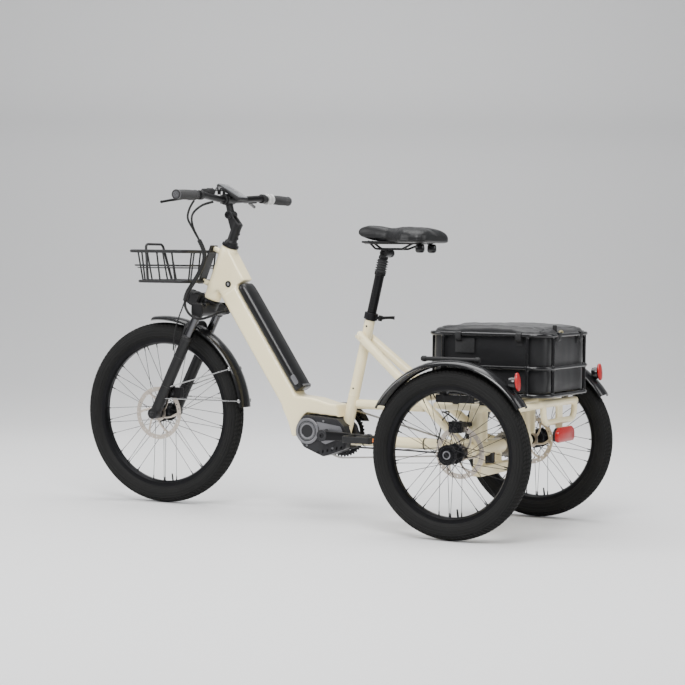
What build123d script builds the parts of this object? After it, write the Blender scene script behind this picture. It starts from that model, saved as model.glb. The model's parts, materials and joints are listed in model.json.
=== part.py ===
"""Adult electric tricycle: one wheel in front, two behind, with a cargo basket over the rear axle.

Millimetres. Origin on the ground at the middle of the whole tricycle; +X is forward, +Y is the
rider's left and +Z is up.
"""
import math
import os

from build123d import *

# ---- driving dimensions ------------------------------------------------------------------------
WHEELBASE = 1246
TRACK = 682
FRONT_TYRE_R = 311
REAR_TYRE_R = 261
TYRE_SECTION_R = 30
FRONT_RIM_IN_R = 237
REAR_RIM_IN_R = 190
HEAD_ANGLE = 69
HEAD_TUBE_LENGTH = 192
SEAT_ANGLE = 77.3
DOWN_TUBE_ANGLE = 56.2
CRANK_LENGTH = 170
CHAINRING_R = 81
COG_R = 30
BASKET_TUBE_R = 6.5
BAR_R = 11.1
SEAT_POST_R = 15.45
RUNNING_GAP = 0.05
PEDAL_SIZE = (100, 86, 24)

# ---- reference points --------------------------------------------------------------------------
LENGTH = WHEELBASE + FRONT_TYRE_R + REAR_TYRE_R
REAR_X = REAR_TYRE_R - LENGTH / 2
FRONT_X = REAR_X + WHEELBASE
REAR_AXLE = Vector(REAR_X, 0, REAR_TYRE_R)
FRONT_AXLE = Vector(FRONT_X, 0, FRONT_TYRE_R)
WHEEL_Y = TRACK / 2
HEAD_TOP = Vector(343, 0, 883)
BB = Vector(-71, 0, 271)
SEAT_FOOT = Vector(-112, 0, 285)
TUBE_EDGE = Vector(198, 0, 477)
LEFT = Vector(0, 1, 0)

STEER_DOWN = Vector(math.cos(math.radians(HEAD_ANGLE)), 0, -math.sin(math.radians(HEAD_ANGLE)))
STEER_FRONT = Vector(-STEER_DOWN.Z, 0, STEER_DOWN.X)
SEAT_UP = Vector(-math.cos(math.radians(SEAT_ANGLE)), 0, math.sin(math.radians(SEAT_ANGLE)))
TUBE_UP = Vector(math.cos(math.radians(DOWN_TUBE_ANGLE)), 0, math.sin(math.radians(DOWN_TUBE_ANGLE)))
TUBE_OUT = Vector(-TUBE_UP.Z, 0, TUBE_UP.X)


def steer(down, front=0, y=0):
    """A point measured down the steering axis from the head tube's top, then forward of it."""
    return HEAD_TOP + STEER_DOWN * down + STEER_FRONT * front + LEFT * y


def seat(up, back=0, y=0):
    """A point measured up the seat tube's axis, then behind it."""
    return SEAT_FOOT + SEAT_UP * up + Vector(-SEAT_UP.Z, 0, SEAT_UP.X) * back + LEFT * y


def tube(along, out, y=0):
    """A point measured along the down tube's front edge, then out towards the battery side."""
    return TUBE_EDGE + TUBE_UP * along + TUBE_OUT * out + LEFT * y


LEG_TOP = steer(258)
LEG_DOWN = (FRONT_AXLE - LEG_TOP).normalized()
LEG_LENGTH = (FRONT_AXLE - LEG_TOP).length
LEG_Y = 65
STEM_PIVOT = Vector(340, 0, 991)
BAR_CENTRE = Vector(352, 0, 1043)


# ---- helpers: each adds to the sub-part that is being built ------------------------------------
def plane_at(start, direction):
    """A plane at a point, facing along a direction, with its own X axis level and sideways."""
    direction = Vector(direction)
    side = LEFT if abs(direction.normalized().Y) < 0.9 else Vector(1, 0, 0)
    flat = (side - direction.normalized() * side.dot(direction.normalized())).normalized()
    return Plane(origin=start, x_dir=flat, z_dir=direction)


def rod(start, end, radius, mode=Mode.ADD):
    """A solid round bar between two points."""
    start = Vector(start)
    span = Vector(end) - start
    with Locations(plane_at(start, span)):
        Cylinder(radius, span.length, align=(Align.CENTER, Align.CENTER, Align.MIN), mode=mode)


def pipe(start, end, radius, inner):
    """A hollow round tube between two points."""
    start = Vector(start)
    span = Vector(end) - start
    with BuildSketch(plane_at(start, span)) as ring:
        Circle(radius)
        Circle(inner, mode=Mode.SUBTRACT)
    extrude(ring.sketch, amount=span.length)


def block(start, direction, size, length, mode=Mode.ADD, corner=0):
    """A bar of rectangular section; size is its width across and its depth."""
    with BuildSketch(plane_at(start, direction)) as section:
        if corner:
            RectangleRounded(*size, corner)
        else:
            Rectangle(*size)
    extrude(section.sketch, amount=length, mode=mode)


def bent(points, radius, corner, close=False):
    """A round bar along straight runs joined by arcs."""
    with BuildLine() as route:
        FilletPolyline(*points, radius=corner, close=close)
    with BuildSketch(plane_at(route.line @ 0, route.line % 0)) as section:
        Circle(radius)
    sweep(section.sketch, path=route.line)


def plate(points, y_low, y_high, corner=0, mode=Mode.ADD):
    """A flat plate whose outline lies in the XZ plane, from y_low to y_high."""
    with BuildSketch(Plane.XZ.offset(-y_low)) as outline:
        with BuildLine() as edge:
            Polyline(*[(p.X, p.Z) if isinstance(p, Vector) else p for p in points], close=True)
        make_face(edge.line.edges())
        if corner:
            fillet(outline.vertices(), corner)
    extrude(outline.sketch, amount=y_high - y_low, dir=LEFT, mode=mode)


def side_disc(centre, radius, y_low, y_high, mode=Mode.ADD):
    """A disc or shaft whose axis is level across the tricycle."""
    low = Vector(centre.X, y_low, centre.Z)
    rod(low, Vector(centre.X, y_high, centre.Z), radius, mode)


def cage(x_low, x_high, half_width, z, radius, corner):
    """One closed rectangular hoop of round bar, lying level."""
    middle = (x_low + x_high) / 2
    corners = [(x_low, half_width), (x_low, -half_width), (x_high, -half_width), (x_high, half_width)]
    points = [Vector(middle, half_width, z)] + [Vector(x, y, z) for x, y in corners]
    bent(points[1:], radius, corner, close=True)


def save(sub_part, name):
    """Label a finished sub-part and write it."""
    sub_part.label = name
    os.makedirs("parts", exist_ok=True)
    export_step(sub_part, f"parts/{name}.step")


# ---- wheels ------------------------------------------------------------------------------------
SPOKES_PER_SIDE = 18
SPOKE_R = 1.0
FLANGE_R = 30
FLANGE_Y = 25
RIM_HALF = 17
RIM_DEPTH = 21


def wheel(name, centre, tyre_r, rim_in, inboard, disc_y, disc_r, shaft_in, shaft_out, cap_r):
    """Tyre, rim, spokes, hub with its shaft, and brake disc; inboard is +1 or -1 along Y."""
    axis = Axis(centre, (0, 1, 0))
    section = Plane(origin=centre, x_dir=(1, 0, 0), z_dir=(0, 0, 1))
    rim_out = rim_in + RIM_DEPTH

    with BuildPart() as tyre:
        with BuildSketch(section):
            with Locations((tyre_r - TYRE_SECTION_R, 0)):
                Circle(TYRE_SECTION_R)
                Circle(TYRE_SECTION_R - 4.5, mode=Mode.SUBTRACT)
            with Locations((rim_out / 2, 0)):
                Rectangle(rim_out, 2 * RIM_HALF, mode=Mode.SUBTRACT)
        revolve(axis=axis)
    save(tyre.part, f"{name}_tyre")

    with BuildPart() as rim:
        with BuildSketch(section):
            with BuildLine():
                Polyline((rim_in, -9), (rim_in + 6, -RIM_HALF), (rim_out, -RIM_HALF), (rim_out, 3 - RIM_HALF),
                         (rim_in + 8, 3 - RIM_HALF), (rim_in + 4, -7), (rim_in + 4, 7),
                         (rim_in + 8, RIM_HALF - 3), (rim_out, RIM_HALF - 3), (rim_out, RIM_HALF),
                         (rim_in + 6, RIM_HALF), (rim_in, 9), close=True)
            make_face()
        revolve(axis=axis)
    save(rim.part, f"{name}_rim")

    with BuildPart() as spokes:
        for side in (1, -1):
            for k in range(SPOKES_PER_SIDE):
                lean = 1 if k % 2 else -1
                start = math.radians(360 / SPOKES_PER_SIDE * (k + (0.25 if side > 0 else -0.25)))
                end = start + lean * math.radians(44)
                y = side * (FLANGE_Y + 3.1 * lean)
                a = Vector(FLANGE_R * math.cos(start), y, FLANGE_R * math.sin(start))
                b = Vector(rim_in * math.cos(end), side * (3 + 1.2 * lean), rim_in * math.sin(end))
                rod(centre + a, centre + b, SPOKE_R)
    save(spokes.part, f"{name}_spokes")

    with BuildPart() as hub:
        for side in (1, -1):
            low = centre.Y + side * FLANGE_Y - 2
            side_disc(centre, FLANGE_R + 1, low, low + 4)
        side_disc(centre, 20, centre.Y - FLANGE_Y, centre.Y + FLANGE_Y)
        side_disc(centre, cap_r, *sorted((centre.Y - inboard * FLANGE_Y, shaft_out)))
        side_disc(centre, 17, *sorted((centre.Y + inboard * FLANGE_Y, disc_y - inboard)))
        side_disc(centre, 10, *sorted((shaft_in, centre.Y)))
    save(hub.part, f"{name}_hub")

    with BuildPart() as disc:
        side_disc(centre, disc_r, disc_y - 1, disc_y + 1)
        side_disc(centre, disc_r - 15, disc_y - 1, disc_y + 1, Mode.SUBTRACT)
        for k in range(6):
            turn = math.radians(60 * k)
            far = Vector(math.cos(turn), 0, math.sin(turn)) * (disc_r - 14)
            near = Vector(math.cos(turn + 0.5), 0, math.sin(turn + 0.5)) * 22
            at = Vector(centre.X, disc_y, centre.Z)
            run = far - near
            block(at + near, run, (2, 8), run.length)
        side_disc(centre, 26, disc_y - 1, disc_y + 1)
        side_disc(centre, 17 if inboard else 0, disc_y - 2, disc_y + 2, Mode.SUBTRACT)
    save(disc.part, f"{name}_disc")


FRONT_DISC_Y = 41
REAR_DISC_Y = 276
HUB_CAP_Y = 374
HOUSING_END_Y = 240
wheel("front", FRONT_AXLE, FRONT_TYRE_R, FRONT_RIM_IN_R, 1, FRONT_DISC_Y, 90, -45, -38, 17)
for side_name, side in (("rear_left", 1), ("rear_right", -1)):
    wheel(side_name, Vector(REAR_X, side * WHEEL_Y, REAR_TYRE_R), REAR_TYRE_R, REAR_RIM_IN_R, -side,
          side * REAR_DISC_Y, 80, side * 150, side * HUB_CAP_Y, 24)

# ---- main frame --------------------------------------------------------------------------------
TUBE_WIDTH = 84
TUBE_DEPTH = 70
BATTERY_DEPTH = 35
NECK_START = 285
TUBE_LOW = -150
STEERER_R = 14.3

with BuildPart() as down_tube:
    neck = [tube(NECK_START, 0), tube(312, 0), steer(170), steer(9), Vector(331, 0, 872),
            tube(NECK_START, TUBE_DEPTH + BATTERY_DEPTH)]
    block(tube(TUBE_LOW, TUBE_DEPTH / 2), TUBE_UP, (TUBE_WIDTH, TUBE_DEPTH), NECK_START - TUBE_LOW,
          corner=16)
    plate(neck, -32, 32)
    block(tube(TUBE_LOW - 1, TUBE_DEPTH / 2), TUBE_UP, (TUBE_WIDTH - 6, TUBE_DEPTH - 6),
          NECK_START - TUBE_LOW, Mode.SUBTRACT, corner=13)
    cavity = [tube(NECK_START - 4, 4), tube(300, 4), steer(160, -33), steer(24, -33),
              tube(NECK_START + 4, TUBE_DEPTH + BATTERY_DEPTH - 4), tube(NECK_START + 4, TUBE_DEPTH - 4),
              tube(NECK_START - 4, TUBE_DEPTH - 4)]
    plate(cavity, -28, 28, mode=Mode.SUBTRACT)
    rod(steer(-5), steer(200), 28.05, Mode.SUBTRACT)
save(down_tube.part, "down_tube")

BASKET_PLATE_FRONT = 58
with BuildPart() as head_tube:
    rod(steer(0), steer(HEAD_TUBE_LENGTH), 28)
    rod(steer(14), steer(HEAD_TUBE_LENGTH - 14), 24.5, Mode.SUBTRACT)
    for down in (28, 146):
        rod(steer(down, 24), steer(down, BASKET_PLATE_FRONT), 10)
    rod(steer(-5), steer(HEAD_TUBE_LENGTH + 5), STEERER_R + RUNNING_GAP, Mode.SUBTRACT)
save(head_tube.part, "head_tube")

SEAT_TUBE_TOP = 373
with BuildPart() as seat_tube:
    pipe(seat(-60), seat(SEAT_TUBE_TOP), 17.5, SEAT_POST_R + RUNNING_GAP)
    pipe(seat(SEAT_TUBE_TOP - 4), seat(SEAT_TUBE_TOP + 24), 21, SEAT_POST_R + RUNNING_GAP)
save(seat_tube.part, "seat_tube")

MOTOR_OUTLINE = [(50, 266), (40, 308), (17, 333), (-105, 324), (-132, 300), (-146, 262), (-136, 226),
                 (-55, 198), (17, 225)]
with BuildPart() as motor_cradle:
    shell = [(116, 356), (90, 306), (74, 256), (52, 256), (42, 310), (18, 336), (-103, 327), (-93, 370),
             (-65, 372), (-8, 387), (58, 393)]
    plate(shell, -TUBE_WIDTH / 2, TUBE_WIDTH / 2)
    inside = [(108, 352), (86, 306), (71, 262), (55, 250), (42, 300), (18, 326), (-103, 318), (-91, 364),
              (-65, 366), (-8, 381), (56, 386)]
    plate(inside, 4 - TUBE_WIDTH / 2, TUBE_WIDTH / 2 - 4, mode=Mode.SUBTRACT)
    rod(seat(-60), seat(120), 17.55, Mode.SUBTRACT)
    block(tube(TUBE_LOW, TUBE_DEPTH / 2), TUBE_UP, (TUBE_WIDTH + 1, TUBE_DEPTH + 1), 60, Mode.SUBTRACT)
save(motor_cradle.part, "motor_cradle")

HOUSING_R = 25
CASSETTE_GAP = (-104, -28)
BEAM_X = -670
BEAM_Z = (182, 214)
POST_Y = 190
DERAILLEUR_PIVOT = Vector(-585, 0, 222)
with BuildPart() as axle_housing:
    for low, high in ((CASSETTE_GAP[1], HOUSING_END_Y), (-HOUSING_END_Y, CASSETTE_GAP[0])):
        side_disc(REAR_AXLE, HOUSING_R, low, high)
        side_disc(REAR_AXLE, HOUSING_R - 3, low + 12, high - 12, Mode.SUBTRACT)
    side_disc(REAR_AXLE, 10 + RUNNING_GAP, -HOUSING_END_Y - 1, HOUSING_END_Y + 1, Mode.SUBTRACT)
    beam_z = (BEAM_Z[0] + BEAM_Z[1]) / 2
    block((BEAM_X, -200, beam_z), LEFT, (30, BEAM_Z[1] - BEAM_Z[0]), 400)
    block((BEAM_X, -201, beam_z), LEFT, (25, BEAM_Z[1] - BEAM_Z[0] - 5), 402, Mode.SUBTRACT)
    for y in (-140, 10, 140):
        block((BEAM_X + 14, y, BEAM_Z[1] - 1), (0, 0, 1), (8, 30), 28)
    hanger = [(-652, 238), (-640, 226), (-592, 214), (-577, 222), (-592, 231), (-626, 248)]
    plate(hanger, -110, -104)
    side_disc(DERAILLEUR_PIVOT, 3, -110, -62)
save(axle_housing.part, "axle_housing")

STAY_TOP = Vector(-183.2, 27.7, 587.6)
STAY_END = Vector(-567.7, 94.4, 275)
STAY_R = 14.5
MID_TUBE_Z = 372
MID_TUBE_END_X = -393
SPINE_Z = 254
SPINE_END_X = -632
with BuildPart() as rear_tubes:
    for side in (1, -1):
        top = Vector(STAY_TOP.X, STAY_TOP.Y * side, STAY_TOP.Z)
        end = Vector(STAY_END.X, STAY_END.Y * side, STAY_END.Z)
        start = top + (end - top).normalized() * -25
        start.Y = top.Y
        pipe(start, end, STAY_R, STAY_R - 2)
        rod(end - Vector(-6, 0, -5), Vector(REAR_X + 10, end.Y, REAR_TYRE_R + 4), 12)
    pipe((MID_TUBE_END_X - 14, -66, 404), (MID_TUBE_END_X - 14, 66, 404), 12, 10)
    pipe((-152, 0, MID_TUBE_Z), (MID_TUBE_END_X, 0, MID_TUBE_Z), 16, 14)
    plate([(MID_TUBE_END_X + 40, 380), (MID_TUBE_END_X - 14, 410), (MID_TUBE_END_X - 14, 380)], -3, 3)
    pipe((-110, 0, SPINE_Z), (SPINE_END_X, 0, SPINE_Z), 18.5, 16)
    rod(seat(-60), seat(SEAT_TUBE_TOP + 30), 17.52, Mode.SUBTRACT)
    side_disc(REAR_AXLE, HOUSING_R + 0.02, -HOUSING_END_Y, HOUSING_END_Y, Mode.SUBTRACT)
save(rear_tubes.part, "rear_tubes")

RACK_Z = 396
RACK_FRONT_X = -535
RACK_REAR_X = -853
RAIL_Y = 200
HOOP_X = -858
HOOP_HALF = 130
with BuildPart() as rack_frame:
    bent([(RACK_FRONT_X, RAIL_Y, RACK_Z), (-800, RAIL_Y, RACK_Z), (RACK_REAR_X, 150, 408),
          (RACK_REAR_X, -150, 408), (-800, -RAIL_Y, RACK_Z), (RACK_FRONT_X, -RAIL_Y, RACK_Z)], 12, 28)
    for side in (1, -1):
        pipe((BEAM_X, side * POST_Y, BEAM_Z[1]), (BEAM_X, side * POST_Y, RACK_Z - 11), 15, 13)
        block((BEAM_X, side * POST_Y, 290), (0, 0, 1), (8, 60), 93)
    for x in (RACK_FRONT_X + 6, -700):
        pipe((x, -RAIL_Y, RACK_Z), (x, RAIL_Y, RACK_Z), 10, 8)
    bent([(HOOP_X, HOOP_HALF, 404), (HOOP_X, HOOP_HALF - 6, 350), (HOOP_X, 6 - HOOP_HALF, 350),
          (HOOP_X, -HOOP_HALF, 404)], 10, 34)
    block((HOOP_X, 0, 330), (0, 0, 1), (42, 9), 78)
    side_disc(REAR_AXLE, HOUSING_R + 0.02, -HOUSING_END_Y, HOUSING_END_Y, Mode.SUBTRACT)
save(rack_frame.part, "rack_frame")

# ---- drive -------------------------------------------------------------------------------------
MOTOR_HALF = (-38, 58)
with BuildPart() as drive_unit:
    plate(MOTOR_OUTLINE, *MOTOR_HALF, corner=14)
    side_disc(Vector(1, 0, 280), 43, 50, MOTOR_HALF[1] + 8)
    side_disc(BB, 10 + RUNNING_GAP, -60, 90, Mode.SUBTRACT)
    rod(seat(-75), seat(80), 17.6, Mode.SUBTRACT)
    plate([(-110, 300), (-110, 210), (-160, 210), (-160, 300)], -21, 21, mode=Mode.SUBTRACT)
save(drive_unit.part, "drive_unit")

CHAIN_Y = -52
ARM_Y = 92
with BuildPart() as crankset:
    side_disc(BB, CHAINRING_R, CHAIN_Y - 1.5, CHAIN_Y + 1.5)
    for k in range(5):
        turn = math.radians(72 * k + 36)
        side_disc(BB + Vector(math.cos(turn), 0, math.sin(turn)) * 48, 18, CHAIN_Y - 2, CHAIN_Y + 2,
                  Mode.SUBTRACT)
    side_disc(BB, 22, CHAIN_Y - 3, CHAIN_Y + 8)
    side_disc(BB, 10, -ARM_Y, ARM_Y)
    for side, reach in ((1, -CRANK_LENGTH), (-1, CRANK_LENGTH)):
        hub_y = side * ARM_Y
        low, high = hub_y - 7, hub_y + 7
        side_disc(BB, 19, low, high)
        side_disc(BB + Vector(reach, 0, 0), 14, low, high)
        arm = [(BB.X, BB.Z + 16), (BB.X + reach, BB.Z + 12), (BB.X + reach, BB.Z - 12),
               (BB.X, BB.Z - 16)]
        plate(arm, low, high)
        side_disc(BB + Vector(reach, 0, 0), 6, *sorted((hub_y, side * 186)))
save(crankset.part, "crankset")

for name, side, reach in (("left", 1, -CRANK_LENGTH), ("right", -1, CRANK_LENGTH)):
    spindle = BB + Vector(reach, 0, 0)
    low, high = sorted((side * 101, side * (101 + PEDAL_SIZE[1])))
    with BuildPart() as pedal:
        with Locations((spindle.X, (low + high) / 2, spindle.Z)):
            Box(PEDAL_SIZE[0], PEDAL_SIZE[1], PEDAL_SIZE[2])
        fillet(pedal.edges().filter_by(Axis.Y), 5)
        side_disc(spindle, 6 + RUNNING_GAP, low - 1, high + 1, Mode.SUBTRACT)
    save(pedal.part, f"pedal_{name}")

with BuildPart() as cassette:
    for k, radius in enumerate((44, 41, 38, 36, 34, COG_R, 26)):
        cog_y = CHAIN_Y - 5 * (5 - k)
        side_disc(REAR_AXLE, radius, cog_y - 1, cog_y + 1)
    side_disc(REAR_AXLE, 20, -100, -42)
    side_disc(REAR_AXLE, 10, -130, 0)
save(cassette.part, "cassette")

CHAIN_HALF = 3.6
CHAIN_CLEAR = 0.8
PULLEY = Vector(-602, 0, 207)
PULLEY_R = 18
with BuildPart() as chain:
    for grow, mode in ((6.5, Mode.ADD), (CHAIN_CLEAR, Mode.SUBTRACT)):
        with BuildSketch(Plane.XZ.offset(CHAIN_HALF - CHAIN_Y)) as loop:
            for centre, radius in ((BB, CHAINRING_R), (REAR_AXLE, COG_R), (PULLEY, PULLEY_R)):
                with Locations((centre.X, centre.Z)):
                    Circle(radius + grow)
            make_hull()
        extrude(loop.sketch, amount=2 * CHAIN_HALF, dir=LEFT, mode=mode)
save(chain.part, "chain")

with BuildPart() as derailleur:
    cage_plate = [(-575, 231), (-575, 214), (-600, 194), (-616, 203), (-592, 231)]
    plate(cage_plate, CHAIN_Y - 9, CHAIN_Y - 6)
    side_disc(PULLEY, 5, CHAIN_Y - 9, CHAIN_Y + 2)
    side_disc(PULLEY, PULLEY_R - 1, CHAIN_Y - 1.2, CHAIN_Y + 1.2)
    side_disc(DERAILLEUR_PIVOT, 8, CHAIN_Y - 42, CHAIN_Y - 9)
    side_disc(DERAILLEUR_PIVOT, 3 + RUNNING_GAP, CHAIN_Y - 43, CHAIN_Y + 4, Mode.SUBTRACT)
save(derailleur.part, "derailleur")

with BuildPart() as chain_guard:
    with BuildSketch(Plane.XZ.offset(66)) as sector:
        with Locations((BB.X, BB.Z)):
            Circle(CHAINRING_R + 19)
            Circle(CHAINRING_R - 13, mode=Mode.SUBTRACT)
        with Locations((BB.X, BB.Z - 40)):
            Rectangle(300, 160, mode=Mode.SUBTRACT)
        with Locations((BB.X + 82, BB.Z)):
            Rectangle(100, 300, mode=Mode.SUBTRACT)
    extrude(sector.sketch, amount=4, dir=LEFT)
    block((-80, -TUBE_WIDTH / 2, 366), (0, -1, 0), (24, 9), 21)
save(chain_guard.part, "chain_guard")

# ---- rear load: cargo basket, bag, fenders, lights ----------------------------------------------
CARGO_X = (-888, -487)
CARGO_HALF = 190
CARGO_RIM_Z = 619.5
CARGO_MID_Z = 520
CARGO_FLOOR_Z = 436
CARGO_CORNER = 60
with BuildPart() as cargo_basket:
    for z in (CARGO_FLOOR_Z, CARGO_MID_Z, CARGO_RIM_Z):
        cage(*CARGO_X, CARGO_HALF, z, BASKET_TUBE_R, CARGO_CORNER)
    for y in (-CARGO_HALF, CARGO_HALF):
        for x in (CARGO_X[0] + CARGO_CORNER, CARGO_X[1] - CARGO_CORNER):
            rod((x, y, CARGO_FLOOR_Z), (x, y, CARGO_RIM_Z), 5.5)
    for x in CARGO_X:
        for y in (CARGO_CORNER - CARGO_HALF, CARGO_HALF - CARGO_CORNER):
            rod((x, y, CARGO_FLOOR_Z), (x, y, CARGO_RIM_Z), 5.5)
    for y in (-120, -40, 40, 120):
        rod((CARGO_X[0], y, CARGO_FLOOR_Z - 4), (CARGO_X[1], y, CARGO_FLOOR_Z - 4), 4)
    for x in (-800, -700, -560):
        for y in (6 - RAIL_Y, RAIL_Y - 6):
            block((x, y, RACK_Z + 12.1), (0, 0, 1), (14, 20), CARGO_FLOOR_Z - RACK_Z - 12)
    add(rack_frame.part, mode=Mode.SUBTRACT)
save(cargo_basket.part, "cargo_basket")

BAG_X = (CARGO_X[0] + 9, CARGO_X[1] - 9)
BAG_HALF = CARGO_HALF - 9
BAG_Z = (CARGO_FLOOR_Z + 8, 622)
BAG_CORNER = 50
BAG_MIDDLE = (BAG_X[0] + BAG_X[1]) / 2
with BuildPart() as cargo_bag:
    for inset, floor, mode in ((0, BAG_Z[0], Mode.ADD), (3, BAG_Z[0] + 4, Mode.SUBTRACT)):
        with BuildSketch(Plane.XY.offset(floor)) as outline:
            with Locations((BAG_MIDDLE, 0)):
                RectangleRounded(BAG_X[1] - BAG_X[0] - 2 * inset, 2 * (BAG_HALF - inset), BAG_CORNER - inset)
        extrude(outline.sketch, amount=BAG_Z[1] - floor + inset, mode=mode)
save(cargo_bag.part, "cargo_bag")

LID_GAP = 0.6
with BuildPart() as bag_lid:
    with BuildSketch(Plane.XY.offset(BAG_Z[1] + LID_GAP)):
        with Locations((BAG_MIDDLE, 0)):
            RectangleRounded(BAG_X[1] - BAG_X[0], 2 * BAG_HALF, BAG_CORNER)
    extrude(amount=22)
    chamfer(bag_lid.faces().sort_by(Axis.Z)[-1].edges(), 14)
save(bag_lid.part, "bag_lid")

FENDER_R = 286
FENDER_HALF = 37
FENDER_FRONT_ANGLE = 28.5
FENDER_REAR_ANGLE = 147.6
with BuildPart() as rear_fenders:
    for side in (1, -1):
        centre = Vector(REAR_X, side * WHEEL_Y, REAR_TYRE_R)
        tip = math.radians(FENDER_FRONT_ANGLE)
        outward = Vector(math.cos(tip), 0, math.sin(tip))
        with BuildSketch(Plane(origin=centre, x_dir=outward, z_dir=outward.cross(LEFT))) as section:
            with BuildLine() as edge:
                ThreePointArc((FENDER_R - 13, -FENDER_HALF), (FENDER_R, 0), (FENDER_R - 13, FENDER_HALF))
                ThreePointArc((FENDER_R - 16, -FENDER_HALF), (FENDER_R - 3, 0), (FENDER_R - 16, FENDER_HALF))
                Line((FENDER_R - 13, -FENDER_HALF), (FENDER_R - 16, -FENDER_HALF))
                Line((FENDER_R - 13, FENDER_HALF), (FENDER_R - 16, FENDER_HALF))
            make_face(edge.line.edges())
        revolve(section.sketch, axis=Axis(centre, (0, -1, 0)),
                revolution_arc=FENDER_REAR_ANGLE - FENDER_FRONT_ANGLE)
        dome = centre + Vector(-203, 0, 222)
        rod(dome, dome + Vector(-7, 0, 4), 17)
save(rear_fenders.part, "rear_fenders")

with BuildPart() as fender_brackets:
    for side in (1, -1):
        for x in (-600, -690):
            block((x, side * (RAIL_Y + 4), 420), (0, side, 0), (20, 5), 94)
            block((x, side * 297, 418), (0, 0, 1), (5, 20), 120)
            block((x, side * (RAIL_Y + 8), 396), (0, 0, 1), (5, 20), 26)
        block((-577, side * 303, 426), (-1, 0, 0), (5, 24), 129)
        rod((-524, side * 297, 545), (-721, side * 297, 545), 7)
    add(rack_frame.part, mode=Mode.SUBTRACT)
    add(rear_fenders.part, mode=Mode.SUBTRACT)
save(fender_brackets.part, "fender_brackets")

with BuildPart() as rear_lights:
    for side in (1, -1):
        dome = Vector(REAR_X, side * WHEEL_Y, REAR_TYRE_R) + Vector(-210.5, 0, 226.5)
        with BuildSketch(plane_at(dome, (-1, 0, 0.1))) as lens:
            SlotOverall(52, 30, rotation=90)
        extrude(lens.sketch, amount=9)
    with BuildSketch(Plane(origin=(HOOP_X - 6, 0, 310), x_dir=(0, 1, 0), z_dir=(-1, 0, 0))) as tail:
        RectangleRounded(130, 39, 15)
    extrude(tail.sketch, amount=22)
    add(rear_fenders.part, mode=Mode.SUBTRACT)
save(rear_lights.part, "rear_lights")

with BuildPart() as rear_calipers:
    for side in (1, -1):
        disc_y = side * REAR_DISC_Y
        at = Vector(REAR_X + 10, disc_y, REAR_TYRE_R + 78)
        block(at - LEFT * 17, LEFT, (44, 34), 34)
        block((at.X, side * (POST_Y + 4.2), at.Z + 4), (0, side, 0), (26, 14), REAR_DISC_Y - POST_Y - 20)
        side_disc(REAR_AXLE, 82, disc_y - 2.5, disc_y + 2.5, Mode.SUBTRACT)
save(rear_calipers.part, "rear_calipers")

# ---- front basket, fixed to the head tube ------------------------------------------------------
FRONT_BASKET_X = (430, 646)
FRONT_BASKET_HALF = 165
FRONT_RIM_Z = 866
FRONT_MID_Z = 818
FRONT_FLOOR_Z = 764
FLOOR_INSET = 22
WIRE_R = 3
with BuildPart() as front_basket:
    cage(*FRONT_BASKET_X, FRONT_BASKET_HALF, FRONT_RIM_Z, 5.5, 30)
    cage(FRONT_BASKET_X[0] + 6, FRONT_BASKET_X[1] - 11, FRONT_BASKET_HALF - 10, FRONT_MID_Z, WIRE_R, 28)
    floor_x = (FRONT_BASKET_X[0] + 12, FRONT_BASKET_X[1] - FLOOR_INSET)
    floor_half = FRONT_BASKET_HALF - FLOOR_INSET
    cage(*floor_x, floor_half, FRONT_FLOOR_Z, 5, 26)
    for x in (470, 530, 590):
        for side in (1, -1):
            rod((x, side * FRONT_BASKET_HALF, FRONT_RIM_Z), (x, side * floor_half, FRONT_FLOOR_Z), WIRE_R)
    for y in (-104, -48, 48, 104):
        rod((FRONT_BASKET_X[1], y, FRONT_RIM_Z), (floor_x[1], y, FRONT_FLOOR_Z), WIRE_R)
        rod((FRONT_BASKET_X[0], y, FRONT_RIM_Z), (floor_x[0], y, FRONT_FLOOR_Z), WIRE_R)
    for y in (-105, -70, -35, 0, 35, 70, 105):
        rod((floor_x[0], y, FRONT_FLOOR_Z + 4), (floor_x[1], y, FRONT_FLOOR_Z + 4), WIRE_R)
    bent([(floor_x[1], 76, FRONT_FLOOR_Z), (FRONT_BASKET_X[1] + 3, 52, 890),
          (FRONT_BASKET_X[1] + 3, -52, 890), (floor_x[1], -76, FRONT_FLOOR_Z)], 4.5, 16)
    plate([steer(18, 58), steer(158, 58), steer(158, 63), steer(18, 63)], -22, 22)
    block((steer(18, 61).X, 0, FRONT_RIM_Z), (1, 0, 0), (60, 8), 24)
    block((steer(150, 61).X - 4, 0, FRONT_FLOOR_Z), (1, 0, 0), (60, 8), 14)
    add(head_tube.part, mode=Mode.SUBTRACT)
save(front_basket.part, "front_basket")

# ---- fork and steering -------------------------------------------------------------------------
COLUMN_TOP = -86
CROWN_DOWN = 226
STANCHION_R = 14.5


def leg(along, front=0, y=0):
    """A point measured down the fork legs from their top on the steering axis."""
    return LEG_TOP + LEG_DOWN * along + Vector(-LEG_DOWN.Z, 0, LEG_DOWN.X) * front + LEFT * y


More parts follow.
